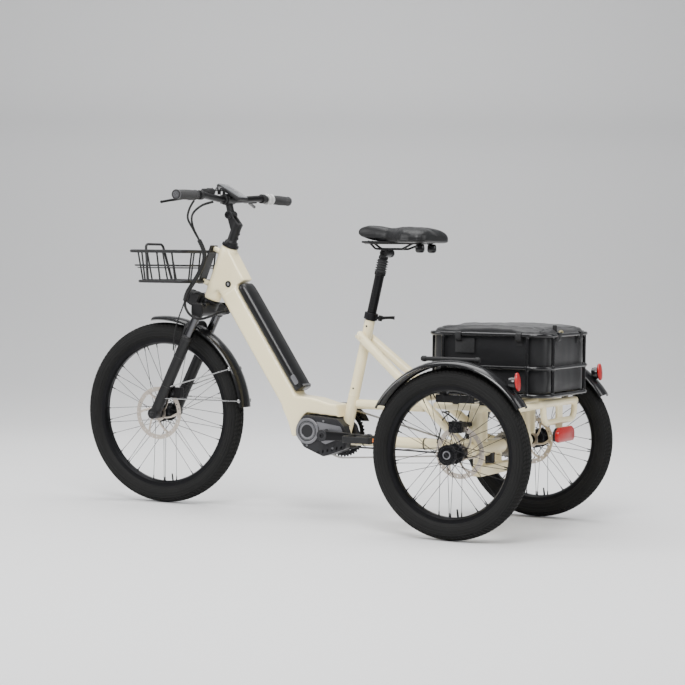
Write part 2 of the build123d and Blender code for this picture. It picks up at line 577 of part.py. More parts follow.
with BuildPart() as fork_crown:
    rod(steer(-10), steer(CROWN_DOWN), STEERER_R)
    rod(steer(COLUMN_TOP), steer(-3), 17)
    rod(steer(-20), steer(-3), 23)
    rod(steer(HEAD_TUBE_LENGTH + 1), steer(HEAD_TUBE_LENGTH + 9), 26)
    rod(steer(CROWN_DOWN - 22), steer(CROWN_DOWN + 16), 27)
    block(leg(-32, 0, -LEG_Y - 19), LEFT, (46, 44), 2 * LEG_Y + 38, corner=12)
    for side in (1, -1):
        rod(leg(-50, 0, side * LEG_Y), leg(-8, 0, side * LEG_Y), 19)
        plate([steer(COLUMN_TOP + 26, -10), steer(COLUMN_TOP + 2, -14), (STEM_PIVOT.X - 6, STEM_PIVOT.Z + 8),
               (STEM_PIVOT.X + 8, STEM_PIVOT.Z - 4), steer(COLUMN_TOP + 26, 14)], *sorted((side * 10, side * 16)))
        side_disc(STEM_PIVOT, 13, *sorted((side * 10, side * 16)))
    side_disc(STEM_PIVOT, 4, -16, 16)
    for side in (1, -1):
        rod(leg(-60, 0, side * LEG_Y), leg(0, 0, side * LEG_Y), STANCHION_R, Mode.SUBTRACT)
save(fork_crown.part, "fork_crown")

with BuildPart() as stanchions:
    for side in (1, -1):
        rod(leg(-50, 0, side * LEG_Y), leg(190, 0, side * LEG_Y), STANCHION_R)
        rod(leg(-52, 0, side * LEG_Y), leg(186, 0, side * LEG_Y), STANCHION_R - 2.5, Mode.SUBTRACT)
save(stanchions.part, "stanchions")

with BuildPart() as headlight:
    block(steer(CROWN_DOWN - 12, 30), STEER_FRONT, (56, 52), 58, corner=12)
    block(steer(CROWN_DOWN - 12, 20), STEER_FRONT, (20, 30), 12)
    add(fork_crown.part, mode=Mode.SUBTRACT)
save(headlight.part, "headlight")

LOWER_TOP = 76
FORK_TRAVEL = 0.06
with BuildPart() as fork_lowers:
    for side in (1, -1):
        rod(leg(LOWER_TOP, 0, side * LEG_Y), leg(LEG_LENGTH + 4, 0, side * LEG_Y), 19)
        side_disc(FRONT_AXLE, 19, *sorted((side * 50, side * 84)))
    bent([leg(LOWER_TOP + 26, 4, LEG_Y), leg(LOWER_TOP - 40, 26, LEG_Y - 6),
          leg(LOWER_TOP - 40, 26, 6 - LEG_Y), leg(LOWER_TOP + 26, 4, -LEG_Y)], 9, 24)
    for side in (1, -1):
        rod(leg(LOWER_TOP - 3, 0, side * LEG_Y), leg(LOWER_TOP + 190, 0, side * LEG_Y), STANCHION_R + 0.06,
            Mode.SUBTRACT)
        rod(leg(0, 0, side * LEG_Y), leg(LOWER_TOP - 2, 0, side * LEG_Y), STANCHION_R + 1, Mode.SUBTRACT)
    side_disc(FRONT_AXLE, 10 + RUNNING_GAP, -70, 70, Mode.SUBTRACT)
    side_disc(FRONT_AXLE, 25, -50, 50, Mode.SUBTRACT)
save(fork_lowers.part, "fork_lowers")

with BuildPart() as front_fender:
    tip = math.radians(82.6)
    outward = Vector(math.cos(tip), 0, math.sin(tip))
    with BuildSketch(Plane(origin=FRONT_AXLE, x_dir=outward, z_dir=outward.cross(LEFT))) as section:
        with BuildLine() as edge:
            ThreePointArc((322, -36), (334, 0), (322, 36))
            ThreePointArc((319, -36), (331, 0), (319, 36))
            Line((322, -36), (319, -36))
            Line((322, 36), (319, 36))
        make_face(edge.line.edges())
    revolve(section.sketch, axis=Axis(FRONT_AXLE, (0, -1, 0)), revolution_arc=92)
    for side in (1, -1):
        foot = Vector(282, side * 33, 428)
        rod(foot, leg(250, -20, side * (LEG_Y + 3)), 2.5)
    add(fork_lowers.part, mode=Mode.SUBTRACT)
save(front_fender.part, "front_fender")

with BuildPart() as front_caliper:
    block(leg(LEG_LENGTH - 92, -22, FRONT_DISC_Y - 14), LEFT, (64, 36), 26)
    side_disc(FRONT_AXLE, 92, FRONT_DISC_Y - 2.5, FRONT_DISC_Y + 2.5, Mode.SUBTRACT)
    rod(leg(LEG_LENGTH - 20, 0, LEG_Y), leg(LEG_LENGTH - 200, 0, LEG_Y), 19.0, Mode.SUBTRACT)
save(front_caliper.part, "front_caliper")

# ---- handlebar ---------------------------------------------------------------------------------
BAR_END = Vector(326, 364, 1048)
BAR_BEND = Vector(338, 180, 1052)
BAR_FLAT = Vector(352, 60, 1043)
BAR_RUN = (BAR_END - BAR_BEND).normalized()


def mirrored(point, side):
    """The same point on the rider's left (side 1) or right (side -1)."""
    return Vector(point.X, point.Y * side, point.Z)


def on_bar(out, side, front=0, up=0):
    """A point on the handlebar's outer run, measured out from its bend."""
    return mirrored(BAR_BEND + BAR_RUN * out + Vector(front, 0, up), side)


with BuildPart() as handlebar:
    bar_points = [mirrored(p, side) for side, run in ((1, (BAR_END, BAR_BEND, BAR_FLAT)),
                                                      (-1, (BAR_FLAT, BAR_BEND, BAR_END))) for p in run]
    bent(bar_points, BAR_R, 45)
save(handlebar.part, "handlebar")

with BuildPart() as stem_arm:
    plate([(STEM_PIVOT.X - 11, STEM_PIVOT.Z), (STEM_PIVOT.X + 11, STEM_PIVOT.Z), (BAR_CENTRE.X + 13, BAR_CENTRE.Z),
           (BAR_CENTRE.X - 13, BAR_CENTRE.Z)], -9.6, 9.6)
    side_disc(STEM_PIVOT, 12, -9.6, 9.6)
    side_disc(BAR_CENTRE, 19, -22, 22)
    side_disc(BAR_CENTRE, BAR_R, -23, 23, Mode.SUBTRACT)
    side_disc(STEM_PIVOT, 4 + RUNNING_GAP, -10, 10, Mode.SUBTRACT)
save(stem_arm.part, "stem_arm")

GRIP_START = {1: 56, -1: 76}
with BuildPart() as grips:
    for side, start in GRIP_START.items():
        rod(on_bar(start, side), on_bar(185, side), 16.5)
    add(handlebar.part, mode=Mode.SUBTRACT)
save(grips.part, "grips")

with BuildPart() as twist_shifter:
    rod(on_bar(46, -1), on_bar(75, -1), 19)
    rod(on_bar(45, -1), on_bar(76, -1), BAR_R + RUNNING_GAP, Mode.SUBTRACT)
save(twist_shifter.part, "twist_shifter")

LEVER_PIVOT = Vector(380, 196, 1044)
with BuildPart() as bar_controls:
    for side in (1, -1):
        rod(on_bar(14, side), on_bar(32, side), 16)
        rod(on_bar(14, side), on_bar(14, side) + Vector(30, side * -4, -6), 9)
        pivot = mirrored(LEVER_PIVOT, side)
        for z in (-9, 5):
            rod(pivot + Vector(0, 0, z), pivot + Vector(0, 0, z + 4), 8)
        block(pivot + Vector(-14, 0, -9), (0, 0, 1), (24, 10), 18)
        rod(pivot + Vector(0, 0, -9), pivot + Vector(0, 0, 9), 2.5)
    block((358, 96, 1066), LEFT, (34, 20), 44, corner=4)
    rod(on_bar(-50, 1), on_bar(-38, 1), 15)
    rod((356, 48, 1054), (360, 48, 1086), 14)
    add(handlebar.part, mode=Mode.SUBTRACT)
save(bar_controls.part, "bar_controls")

for name, side in (("left", 1), ("right", -1)):
    pivot = mirrored(LEVER_PIVOT, side)
    with BuildPart() as lever:
        rod(pivot + Vector(0, 0, -4.6), pivot + Vector(0, 0, 4.6), 8)
        bent([pivot + Vector(2, side * 4, 0), pivot + Vector(22, side * 30, -6),
              pivot + Vector(46, side * 104, -18)], 4.5, 20)
        rod(pivot + Vector(0, 0, -20), pivot + Vector(0, 0, -4.6), 9, Mode.SUBTRACT)
        rod(pivot + Vector(0, 0, 4.6), pivot + Vector(0, 0, 20), 9, Mode.SUBTRACT)
        rod(pivot + Vector(0, 0, -20), pivot + Vector(0, 0, 20), 2.5 + RUNNING_GAP, Mode.SUBTRACT)
    save(lever.part, f"brake_lever_{name}")

DISPLAY_FRONT = Vector(377, 0, 1099)
DISPLAY_REAR = Vector(286, 0, 1048)
with BuildPart() as display:
    run = DISPLAY_FRONT - DISPLAY_REAR
    up = Vector(-run.Z, 0, run.X).normalized()
    block(DISPLAY_REAR - up * 7, run, (62, 14), run.length, corner=6)
    for y in (-33, 25):
        low = Vector(BAR_CENTRE.X, y, BAR_CENTRE.Z)
        rod(low, low + Vector(0, 8, 0), 16)
        rod(low + Vector(0, 4, 8), low + Vector(-4, 4, 34), 5)
    add(handlebar.part, mode=Mode.SUBTRACT)
    add(stem_arm.part, mode=Mode.SUBTRACT)
save(display.part, "display")

# ---- seat --------------------------------------------------------------------------------------
POST_TOP = 533
HEAD_UP = 598
with BuildPart() as seatpost:
    pipe(seat(262), seat(POST_TOP), SEAT_POST_R, 12 + RUNNING_GAP)
    pipe(seat(POST_TOP - 10), seat(POST_TOP), 18.5, 12 + RUNNING_GAP)
save(seatpost.part, "seatpost")

with BuildPart() as boot:
    for k in range(5):
        pipe(seat(POST_TOP + 0.3 + 8 * k), seat(POST_TOP + 4.3 + 8 * k), 20, 13)
        pipe(seat(POST_TOP + 4.3 + 8 * k), seat(POST_TOP + 8.3 + 8 * k), 17, 13)
save(boot.part, "boot")

HEAD_CENTRE = seat(HEAD_UP, 10)
with BuildPart() as seat_head:
    rod(seat(480), seat(HEAD_UP - 12), 12)
    rod(seat(HEAD_UP - 22), seat(HEAD_UP - 10), 15.5)
    side_disc(HEAD_CENTRE, 13, -16, 16)
    side_disc(HEAD_CENTRE, 8, -22, 22)
save(seat_head.part, "seat_head")

SADDLE_FLOOR_Z = 906
SADDLE_SECTIONS = ((-150, 17, 941), (-190, 24, 958), (-268, 36, 944), (-322, 84, 949), (-382, 113, 947),
                   (-433, 76, 916))
with BuildPart() as saddle_pad:
    for x, half, top in SADDLE_SECTIONS:
        tall = top - SADDLE_FLOOR_Z
        with BuildSketch(Plane(origin=(x, 0, SADDLE_FLOOR_Z + tall / 2), x_dir=(0, 1, 0), z_dir=(1, 0, 0))):
            RectangleRounded(2 * half, tall, min(half, tall) * 0.3)
    loft(ruled=True)
save(saddle_pad.part, "saddle_pad")

RAIL_SPREAD = 22
with BuildPart() as saddle_base:
    for side in (1, -1):
        y = side * RAIL_SPREAD
        side_disc(HEAD_CENTRE, 14, *sorted((side * 16.5, side * 27)))
        side_disc(HEAD_CENTRE, 8 + RUNNING_GAP, *sorted((side * 16, side * 28)), Mode.SUBTRACT)
        bent([(-190, y * 0.55, 906), (-222, y, 880), (-318, y, 880), (-360, y * 1.6, 898)], 3.5, 18)
    plate([(-170, 905), (-400, 905), (-418, 896), (-420, 888), (-395, 895), (-170, 901)], -42, 42)
    for side in (1, -1):
        rod((-392, side * 44, 868), (-392, side * 44, 897), 15)
    add(saddle_pad.part, mode=Mode.SUBTRACT)
save(saddle_base.part, "saddle_base")

LEVER_HINGE = seat(SEAT_TUBE_TOP + 12, 28, -14)
with BuildPart() as seat_lever:
    rod(LEVER_HINGE - SEAT_UP * 9, LEVER_HINGE + SEAT_UP * 9, 7)
    far = LEVER_HINGE + Vector(-46, -10, 2)
    block(LEVER_HINGE, far - LEVER_HINGE, (8, 13), (far - LEVER_HINGE).length)
save(seat_lever.part, "seat_lever")

# ---- battery -----------------------------------------------------------------------------------
BATTERY_RUN = (-134, 279)
with BuildPart() as battery:
    middle = TUBE_DEPTH + 0.5 + (BATTERY_DEPTH - 0.5) / 2
    block(tube(BATTERY_RUN[0], middle), TUBE_UP, (80, BATTERY_DEPTH - 0.5), BATTERY_RUN[1] - BATTERY_RUN[0],
          corner=12)
save(battery.part, "battery")

# ---- cables ------------------------------------------------------------------------------------
LEFT_LOOP = [(386, 160, 1036), (416, 142, 1008), (429, 131, 976), (415, 119, 940), (398, 109, 905)]
STEM_LOOP = [(372, 62, 1034), (404, 86, 1020), (428, 104, 990), (421, 112, 950), (398, 109, 905)]
BUNDLE = [(398, 109, 905), (384, 101, 868), (384, 99, 835), (400, 99, 800), (425, 99, 762),
          (448, 99, 730), (460, 97, 700)]
CALIPER_HOSE = [(460, 97, 700), (474, 93, 672), (490, 89, 640), (504, 90, 590), (508, 92, 530)]
FRAME_CABLES = [(460, 97, 700), (456, 98, 676), (436, 99, 652), (402, 99, 640), (368, 90, 648),
                (345, 62, 662), (331, 34, 668)]
REAR_LEAD = [(-128, 15, 231), (-330, 14, 231), (-420, 14, 229.5), (-590, 15, 231)]


def soft_radii(points):
    """The largest arc that the runs beside each corner of a route allow."""
    radii = []
    for before, corner, after in zip(points, points[1:], points[2:]):
        run_in = Vector(corner) - Vector(before)
        run_out = Vector(after) - Vector(corner)
        half_turn = math.radians(run_in.get_angle(run_out)) / 2
        radii.append(0.45 * min(run_in.length, run_out.length) / math.tan(half_turn))
    return radii


with BuildPart() as brake_hoses:
    for points, radius in ((LEFT_LOOP, 3.5), (STEM_LOOP, 3.5), (BUNDLE, 7), (CALIPER_HOSE, 2.5),
                           (FRAME_CABLES, 5), (REAR_LEAD, 3)):
        radii = soft_radii(points)
        print("cable arcs", [round(r) for r in radii])
        bent(points, radius, radii)
    add(front_basket.part, mode=Mode.SUBTRACT)
save(brake_hoses.part, "brake_hoses")
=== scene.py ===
"""Adult electric tricycle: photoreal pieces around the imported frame. Metres in Blender, millimetres in
the numbers below, in the frame's axes: +X forward, +Y to the rider's left, +Z up."""
import json
import math

import bmesh
import bpy
from mathutils import Matrix, Vector, noise


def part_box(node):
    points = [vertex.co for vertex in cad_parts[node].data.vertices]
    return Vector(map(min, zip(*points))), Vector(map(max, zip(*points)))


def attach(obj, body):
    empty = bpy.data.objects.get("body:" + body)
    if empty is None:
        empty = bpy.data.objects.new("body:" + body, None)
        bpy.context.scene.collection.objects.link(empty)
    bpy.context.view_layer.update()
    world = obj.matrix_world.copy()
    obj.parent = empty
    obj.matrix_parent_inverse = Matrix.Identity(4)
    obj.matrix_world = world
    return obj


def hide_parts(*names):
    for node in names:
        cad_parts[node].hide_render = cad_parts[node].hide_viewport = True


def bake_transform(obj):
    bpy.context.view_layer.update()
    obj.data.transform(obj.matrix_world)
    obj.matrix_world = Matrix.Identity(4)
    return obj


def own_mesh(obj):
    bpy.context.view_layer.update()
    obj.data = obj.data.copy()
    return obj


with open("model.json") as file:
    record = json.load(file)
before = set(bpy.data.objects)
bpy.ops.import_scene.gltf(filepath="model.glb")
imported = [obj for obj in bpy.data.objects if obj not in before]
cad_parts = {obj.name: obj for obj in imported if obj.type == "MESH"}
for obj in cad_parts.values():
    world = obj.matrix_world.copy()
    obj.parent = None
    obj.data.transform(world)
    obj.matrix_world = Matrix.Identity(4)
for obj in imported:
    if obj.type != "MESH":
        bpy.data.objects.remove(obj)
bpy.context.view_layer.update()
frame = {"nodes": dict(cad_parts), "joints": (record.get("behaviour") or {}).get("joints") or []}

MM = 0.001


def V(x, y, z):
    """A point given in millimetres."""
    return Vector((x, y, z)) * MM


# ---- reference points, from the frame ------------------------------------------------------------
def centre(node):
    low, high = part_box(node)
    return (low + high) / 2


FRONT_AXLE = centre("front_tyre")
REAR_AXLES = {1: centre("rear_left_tyre"), -1: centre("rear_right_tyre")}
AXLE_MID = Vector((REAR_AXLES[1].x, 0, REAR_AXLES[1].z))
FRONT_TYRE_R = (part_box("front_tyre")[1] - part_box("front_tyre")[0]).z / 2 / MM
REAR_TYRE_R = (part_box("rear_left_tyre")[1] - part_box("rear_left_tyre")[0]).z / 2 / MM
JOINTS = {j["name"]: j for j in frame["joints"]}


def joint_point(name):
    return Vector(JOINTS[name]["pos_m"])


HEAD_TOP = joint_point("steering")
STEER_UP = Vector(JOINTS["steering"]["axis"]).normalized()
STEER_FRONT = Vector((STEER_UP.z, 0, -STEER_UP.x))
SEAT_UP = Vector(JOINTS["seat_height"]["axis"]).normalized()
SEAT_BACK = Vector((-SEAT_UP.z, 0, SEAT_UP.x))
LEG_UP = Vector(JOINTS["fork_suspension"]["axis"]).normalized()
LEG_FRONT = Vector((LEG_UP.z, 0, -LEG_UP.x))
SEAT_FOOT = V(-112, 0, 285)
DOWN_TUBE_ANGLE = math.radians(56.2)
TUBE_EDGE = V(198, 0, 477)
TUBE_UP = Vector((math.cos(DOWN_TUBE_ANGLE), 0, math.sin(DOWN_TUBE_ANGLE)))
TUBE_OUT = Vector((-TUBE_UP.z, 0, TUBE_UP.x))
LEFT = Vector((0, 1, 0))
LEG_TOP_DOWN = 258


def steer(down, front=0, y=0):
    """A point down the steering axis from the head tube's top, forward of it and to the left."""
    return HEAD_TOP - STEER_UP * down * MM + STEER_FRONT * front * MM + LEFT * y * MM


def seat(up, back=0, y=0):
    """A point up the seat tube's axis from its foot."""
    return SEAT_FOOT + SEAT_UP * up * MM + SEAT_BACK * back * MM + LEFT * y * MM


def tube_at(along, out, y=0):
    """A point along the down tube's front edge, then out towards the battery."""
    return TUBE_EDGE + TUBE_UP * along * MM + TUBE_OUT * out * MM + LEFT * y * MM


def leg(down, front=0, y=0):
    """A point down the fork legs from their top on the steering axis."""
    return steer(LEG_TOP_DOWN) - LEG_UP * down * MM + LEG_FRONT * front * MM + LEFT * y * MM


LEG_Y = 65


# ---- materials -----------------------------------------------------------------------------------
DARKEN = 0.5


def material(name, base, rough, metallic=0.0, tone=0.06, tone_scale=9.0, grain=(900.0, 0.05), coat=0.0,
             coat_rough=0.08, rough_spread=0.06, wear=0.0, wear_colour=(0.3, 0.3, 0.3), sheen=0.0,
             grain_kind="noise", specular=0.5):
    """A procedural finish: broad colour and gloss variation, a fine grain bump, and rubbed edges."""
    mat = bpy.data.materials.new(name)
    mat.use_nodes = True
    nodes, links = mat.node_tree.nodes, mat.node_tree.links
    shader = nodes["Principled BSDF"]
    if max(base) < 0.05:
        base = [c * DARKEN for c in base]
        wear_colour = [c * DARKEN for c in wear_colour]
        specular, coat = specular * 0.6, coat * 0.45
    shader.inputs["Metallic"].default_value = metallic
    shader.inputs["Coat Weight"].default_value = coat
    shader.inputs["Coat Roughness"].default_value = coat_rough
    shader.inputs["Sheen Weight"].default_value = sheen
    shader.inputs["Specular IOR Level"].default_value = specular
    place = nodes.new("ShaderNodeTexCoord")
    broad = nodes.new("ShaderNodeTexNoise")
    broad.inputs["Scale"].default_value = tone_scale
    broad.inputs["Detail"].default_value = 5
    links.new(place.outputs["Object"], broad.inputs["Vector"])
    ramp = nodes.new("ShaderNodeValToRGB")
    ramp.color_ramp.elements[0].position = 0.3
    ramp.color_ramp.elements[1].position = 0.7
    ramp.color_ramp.elements[0].color = [c * (1 - tone) for c in base] + [1]
    ramp.color_ramp.elements[1].color = [min(1, c * (1 + tone)) for c in base] + [1]
    links.new(broad.outputs["Fac"], ramp.inputs["Fac"])
    colour = ramp.outputs["Color"]
    if wear:
        edge = nodes.new("ShaderNodeNewGeometry")
        pick = nodes.new("ShaderNodeValToRGB")
        pick.color_ramp.elements[0].position = 0.53
        pick.color_ramp.elements[1].position = 0.62
        pick.color_ramp.elements[1].color = (wear, wear, wear, 1)
        links.new(edge.outputs["Pointiness"], pick.inputs["Fac"])
        mix = nodes.new("ShaderNodeMix")
        mix.data_type = "RGBA"
        links.new(pick.outputs["Color"], mix.inputs["Factor"])
        links.new(colour, mix.inputs["A"])
        mix.inputs["B"].default_value = (*wear_colour, 1)
        colour = mix.outputs["Result"]
    links.new(colour, shader.inputs["Base Color"])
    gloss = nodes.new("ShaderNodeMapRange")
    gloss.inputs["To Min"].default_value = max(0.02, rough - rough_spread)
    gloss.inputs["To Max"].default_value = min(1, rough + rough_spread)
    links.new(broad.outputs["Fac"], gloss.inputs["Value"])
    links.new(gloss.outputs["Result"], shader.inputs["Roughness"])
    if grain_kind == "noise":
        fine = nodes.new("ShaderNodeTexNoise")
        fine.inputs["Detail"].default_value = 3
        out = fine.outputs["Fac"]
    else:
        fine = nodes.new("ShaderNodeTexVoronoi")
        fine.feature = "SMOOTH_F1" if grain_kind == "leather" else "F1"
        out = fine.outputs["Distance"]
    fine.inputs["Scale"].default_value = grain[0]
    links.new(place.outputs["Object"], fine.inputs["Vector"])
    bump = nodes.new("ShaderNodeBump")
    bump.inputs["Strength"].default_value = grain[1]
    bump.inputs["Distance"].default_value = 0.0006
    links.new(out, bump.inputs["Height"])
    links.new(bump.outputs["Normal"], shader.inputs["Normal"])
    return mat


def brushed(mat, scale=(2.0, 400.0, 400.0), strength=0.12):
    """Adds fine drawn lines across the grain of a metal finish."""
    nodes, links = mat.node_tree.nodes, mat.node_tree.links
    place = nodes.new("ShaderNodeTexCoord")
    stretch = nodes.new("ShaderNodeMapping")
    stretch.inputs["Scale"].default_value = scale
    lines = nodes.new("ShaderNodeTexNoise")
    lines.inputs["Scale"].default_value = 3.0
    bump = nodes.new("ShaderNodeBump")
    bump.inputs["Strength"].default_value = strength
    bump.inputs["Distance"].default_value = 0.0004
    links.new(place.outputs["Object"], stretch.inputs["Vector"])
    links.new(stretch.outputs["Vector"], lines.inputs["Vector"])
    links.new(lines.outputs["Fac"], bump.inputs["Height"])
    links.new(bump.outputs["Normal"], nodes["Principled BSDF"].inputs["Normal"])
    return mat


IVORY = (0.90, 0.79, 0.50)
MAT = {
    "frame_paint": material("ivory_paint", IVORY, 0.33, tone=0.018, tone_scale=4, grain=(260, 0.035),
                            coat=0.55, coat_rough=0.07, wear=0.25, wear_colour=(0.72, 0.66, 0.52)),
    "tyre": material("tyre_rubber", (0.0125, 0.0124, 0.012), 0.68, tone=0.22, tone_scale=16,
                     grain=(1500, 0.22), wear=0.3, wear_colour=(0.04, 0.039, 0.038), specular=0.35),
    "black_alloy": material("black_anodised", (0.018, 0.018, 0.02), 0.38, metallic=0.75, tone=0.12,
                            grain=(1300, 0.06), wear=0.35, wear_colour=(0.16, 0.16, 0.17)),
    "disc_steel": brushed(material("rotor_steel", (0.60, 0.53, 0.46), 0.34, metallic=1.0, tone=0.10,
                                   tone_scale=30), (60, 60, 60), 0.1),
    "motor_black": material("motor_casting", (0.045, 0.045, 0.049), 0.46, metallic=0.35, tone=0.08,
                            grain=(1800, 0.16), wear=0.3, wear_colour=(0.14, 0.14, 0.15)),
    "motor_grey": material("motor_panel", (0.16, 0.16, 0.17), 0.42, metallic=0.55, tone=0.07,
                           grain=(1500, 0.1), wear=0.3, wear_colour=(0.3, 0.3, 0.31)),
    "crank_black": material("forged_black", (0.028, 0.028, 0.03), 0.36, metallic=0.7, tone=0.1,
                            grain=(1200, 0.05), wear=0.45, wear_colour=(0.22, 0.22, 0.23)),
    "matte_black": material("moulded_black", (0.022, 0.022, 0.023), 0.55, tone=0.12, grain=(1900, 0.3),
                            wear=0.2, wear_colour=(0.07, 0.07, 0.07)),
    "chain_steel": material("oiled_steel", (0.30, 0.285, 0.26), 0.36, metallic=1.0, tone=0.25, tone_scale=60,
                            grain=(900, 0.1), wear=0.4, wear_colour=(0.6, 0.58, 0.55)),
    "gloss_black": material("gloss_black", (0.011, 0.011, 0.012), 0.22, tone=0.1, tone_scale=5,
                            grain=(240, 0.03), coat=0.8, coat_rough=0.06, rough_spread=0.04, wear=0.25,
                            wear_colour=(0.06, 0.06, 0.06)),
    "bag_vinyl": material("bag_vinyl", (0.016, 0.016, 0.0175), 0.34, tone=0.12, tone_scale=12,
                          grain=(950, 0.28), grain_kind="leather", rough_spread=0.1, sheen=0.1),
    "red_lens": material("red_lens", (0.40, 0.0, 0.001), 0.3, tone=0.08, grain=(420, 0.5),
                         grain_kind="cells", coat=0.25, coat_rough=0.06),
    "orange_lens": material("orange_lens", (0.75, 0.16, 0.015), 0.2, tone=0.1, grain=(600, 0.5),
                            grain_kind="cells", coat=0.6),
    "wire_black": material("powder_black", (0.021, 0.021, 0.022), 0.45, tone=0.12, grain=(1100, 0.22),
                           coat=0.15, coat_rough=0.3, wear=0.3, wear_colour=(0.09, 0.09, 0.09)),
    "fork_black": material("fork_black", (0.02, 0.02, 0.021), 0.4, metallic=0.25, tone=0.1, grain=(1200, 0.1),
                           coat=0.2, coat_rough=0.25, wear=0.3, wear_colour=(0.12, 0.12, 0.12)),
    "stanchion_dark": material("stanchion", (0.10, 0.10, 0.105), 0.16, metallic=1.0, tone=0.05,
                               grain=(800, 0.01)),
    "bar_black": material("bar_black", (0.02, 0.02, 0.021), 0.35, metallic=0.5, tone=0.1, grain=(1300, 0.08),
                          wear=0.3, wear_colour=(0.14, 0.14, 0.14)),
    "grip_rubber": material("grip_rubber", (0.035, 0.035, 0.036), 0.72, tone=0.14, tone_scale=40,
                            grain=(1400, 0.4), sheen=0.15),
    "shifter_silver": material("shifter_silver", (0.62, 0.62, 0.61), 0.36, metallic=0.35, tone=0.05,
                               grain=(900, 0.12)),
    "display_grey": material("display_glass", (0.14, 0.145, 0.15), 0.16, tone=0.03, grain=(60, 0.01),
                             coat=1.0, coat_rough=0.02),
    "saddle_vinyl": material("saddle_vinyl", (0.017, 0.017, 0.018), 0.4, tone=0.12, tone_scale=14,
                             grain=(1150, 0.32), grain_kind="leather", rough_spread=0.08),
    "battery_black": material("battery_gloss", (0.012, 0.012, 0.013), 0.34, tone=0.1, grain=(300, 0.04),
                              coat=0.3, coat_rough=0.2, wear=0.2, wear_colour=(0.06, 0.06, 0.06)),
    "cable_black": material("cable_sheath", (0.02, 0.02, 0.02), 0.42, tone=0.12, grain=(1600, 0.12)),
    "bright_steel": brushed(material("bright_steel", (0.42, 0.42, 0.42), 0.28, metallic=1.0, tone=0.08,
                                     tone_scale=40), (300, 300, 300), 0.05),
    "thread": material("stitch_thread", (0.035, 0.035, 0.036), 0.7, tone=0.3, tone_scale=400,
                       grain=(3000, 0.5)),
    "zip_metal": material("zip_metal", (0.75, 0.66, 0.40), 0.28, metallic=0.9, tone=0.08, tone_scale=60),
    "label_grey": material("label_grey", (0.03, 0.03, 0.031), 0.5, tone=0.2, tone_scale=140,
                           grain=(1500, 0.5)),
    "pale_plastic": material("pale_plastic", (0.70, 0.70, 0.68), 0.4, tone=0.04, grain=(1200, 0.1)),
}


# ---- mesh helpers --------------------------------------------------------------------------------
def piece(name, mesh, mat, body, replaces=(), sharp=38, subsurf=0):
    """Makes a mesh into a piece: smooth shading with sharp creases, finish, body and what it stands for."""
    work = bmesh.new()
    work.from_mesh(mesh)
    bmesh.ops.remove_doubles(work, verts=work.verts, dist=1e-6)
    bmesh.ops.recalc_face_normals(work, faces=work.faces)
    limit = math.radians(sharp)
    for edge in work.edges:
        if len(edge.link_faces) == 2:
            edge.smooth = edge.calc_face_angle(0.0) < limit
    for face in work.faces:
        face.smooth = True
    work.to_mesh(mesh)
    work.free()
    obj = bpy.data.objects.new(name, mesh)
    bpy.context.scene.collection.objects.link(obj)
    mesh.materials.clear()
    mesh.materials.append(MAT[mat])
    if subsurf:
        mod = obj.modifiers.new("smooth", "SUBSURF")
        mod.levels = mod.render_levels = subsurf
    if body:
        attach(obj, body)
    if replaces:
        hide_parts(*replaces)
    return obj


def from_rings(rings, closed_ring=True, closed_path=False, caps=True):
    """A mesh through a row of rings of points, every ring with the same count."""
    mesh = bpy.data.meshes.new("rings")
    count = len(rings[0])
    verts = [p for ring in rings for p in ring]
    faces = []
    spans = len(rings) if closed_path else len(rings) - 1
    around = count if closed_ring else count - 1
    for i in range(spans):
        a, b = i * count, (i + 1) % len(rings) * count
        for k in range(around):
            n = (k + 1) % count
            faces.append((a + k, a + n, b + n, b + k))
    if caps and closed_ring and not closed_path:
        faces.append(tuple(range(count))[::-1])
        faces.append(tuple((len(rings) - 1) * count + k for k in range(count)))
    mesh.from_pydata(verts, [], faces)
    return mesh


def join(*meshes):
    """Several meshes as one."""
    work = bmesh.new()
    for mesh in meshes:
        work.from_mesh(mesh)
    out = bpy.data.meshes.new("joined")
    work.to_mesh(out)
    work.free()
    return out


def moved(mesh, matrix):
    """The mesh moved by a matrix."""
    mesh.transform(matrix)
    return mesh


def frame_matrix(origin, z_dir, x_dir=None):
    """A matrix whose Z is z_dir and whose X is as near x_dir as it can be."""
    z = Vector(z_dir).normalized()
    x = Vector(x_dir) if x_dir is not None else (LEFT if abs(z.y) < 0.9 else Vector((1, 0, 0)))
    x = (x - z * x.dot(z)).normalized()
    y = z.cross(x)
    return Matrix(((x.x, y.x, z.x, origin.x), (x.y, y.y, z.y, origin.y), (x.z, y.z, z.z, origin.z),
                   (0, 0, 0, 1)))


def lathe(profile, origin, axis, steps=96, closed=True):
    """Turns a profile of (radius, height along the axis) in millimetres round an axis."""
    to = frame_matrix(origin, axis)
    rings = []
    for i in range(steps):
        a = 2 * math.pi * i / steps
        rings.append([to @ (Vector((r * math.cos(a), r * math.sin(a), h)) * MM) for r, h in profile])
    return from_rings(rings, closed_ring=closed, closed_path=True)


def solid_lathe(profile, origin, axis, steps=64):
    """A turned solid whose profile starts and ends on the axis."""
    return lathe([(max(r, 0.01), h) for r, h in profile], origin, axis, steps, closed=False)


def sweep(points, radius, sides=16, closed=False, up=None):
    """A round tube through points; radius is in millimetres, one value or one for each point."""
    radii = radius if isinstance(radius, (list, tuple)) else [radius] * len(points)
    section = [(math.cos(2 * math.pi * k / sides), math.sin(2 * math.pi * k / sides)) for k in range(sides)]
    return sweep_shape(points, [[(a * r, b * r) for a, b in section] for r in radii], closed, up)


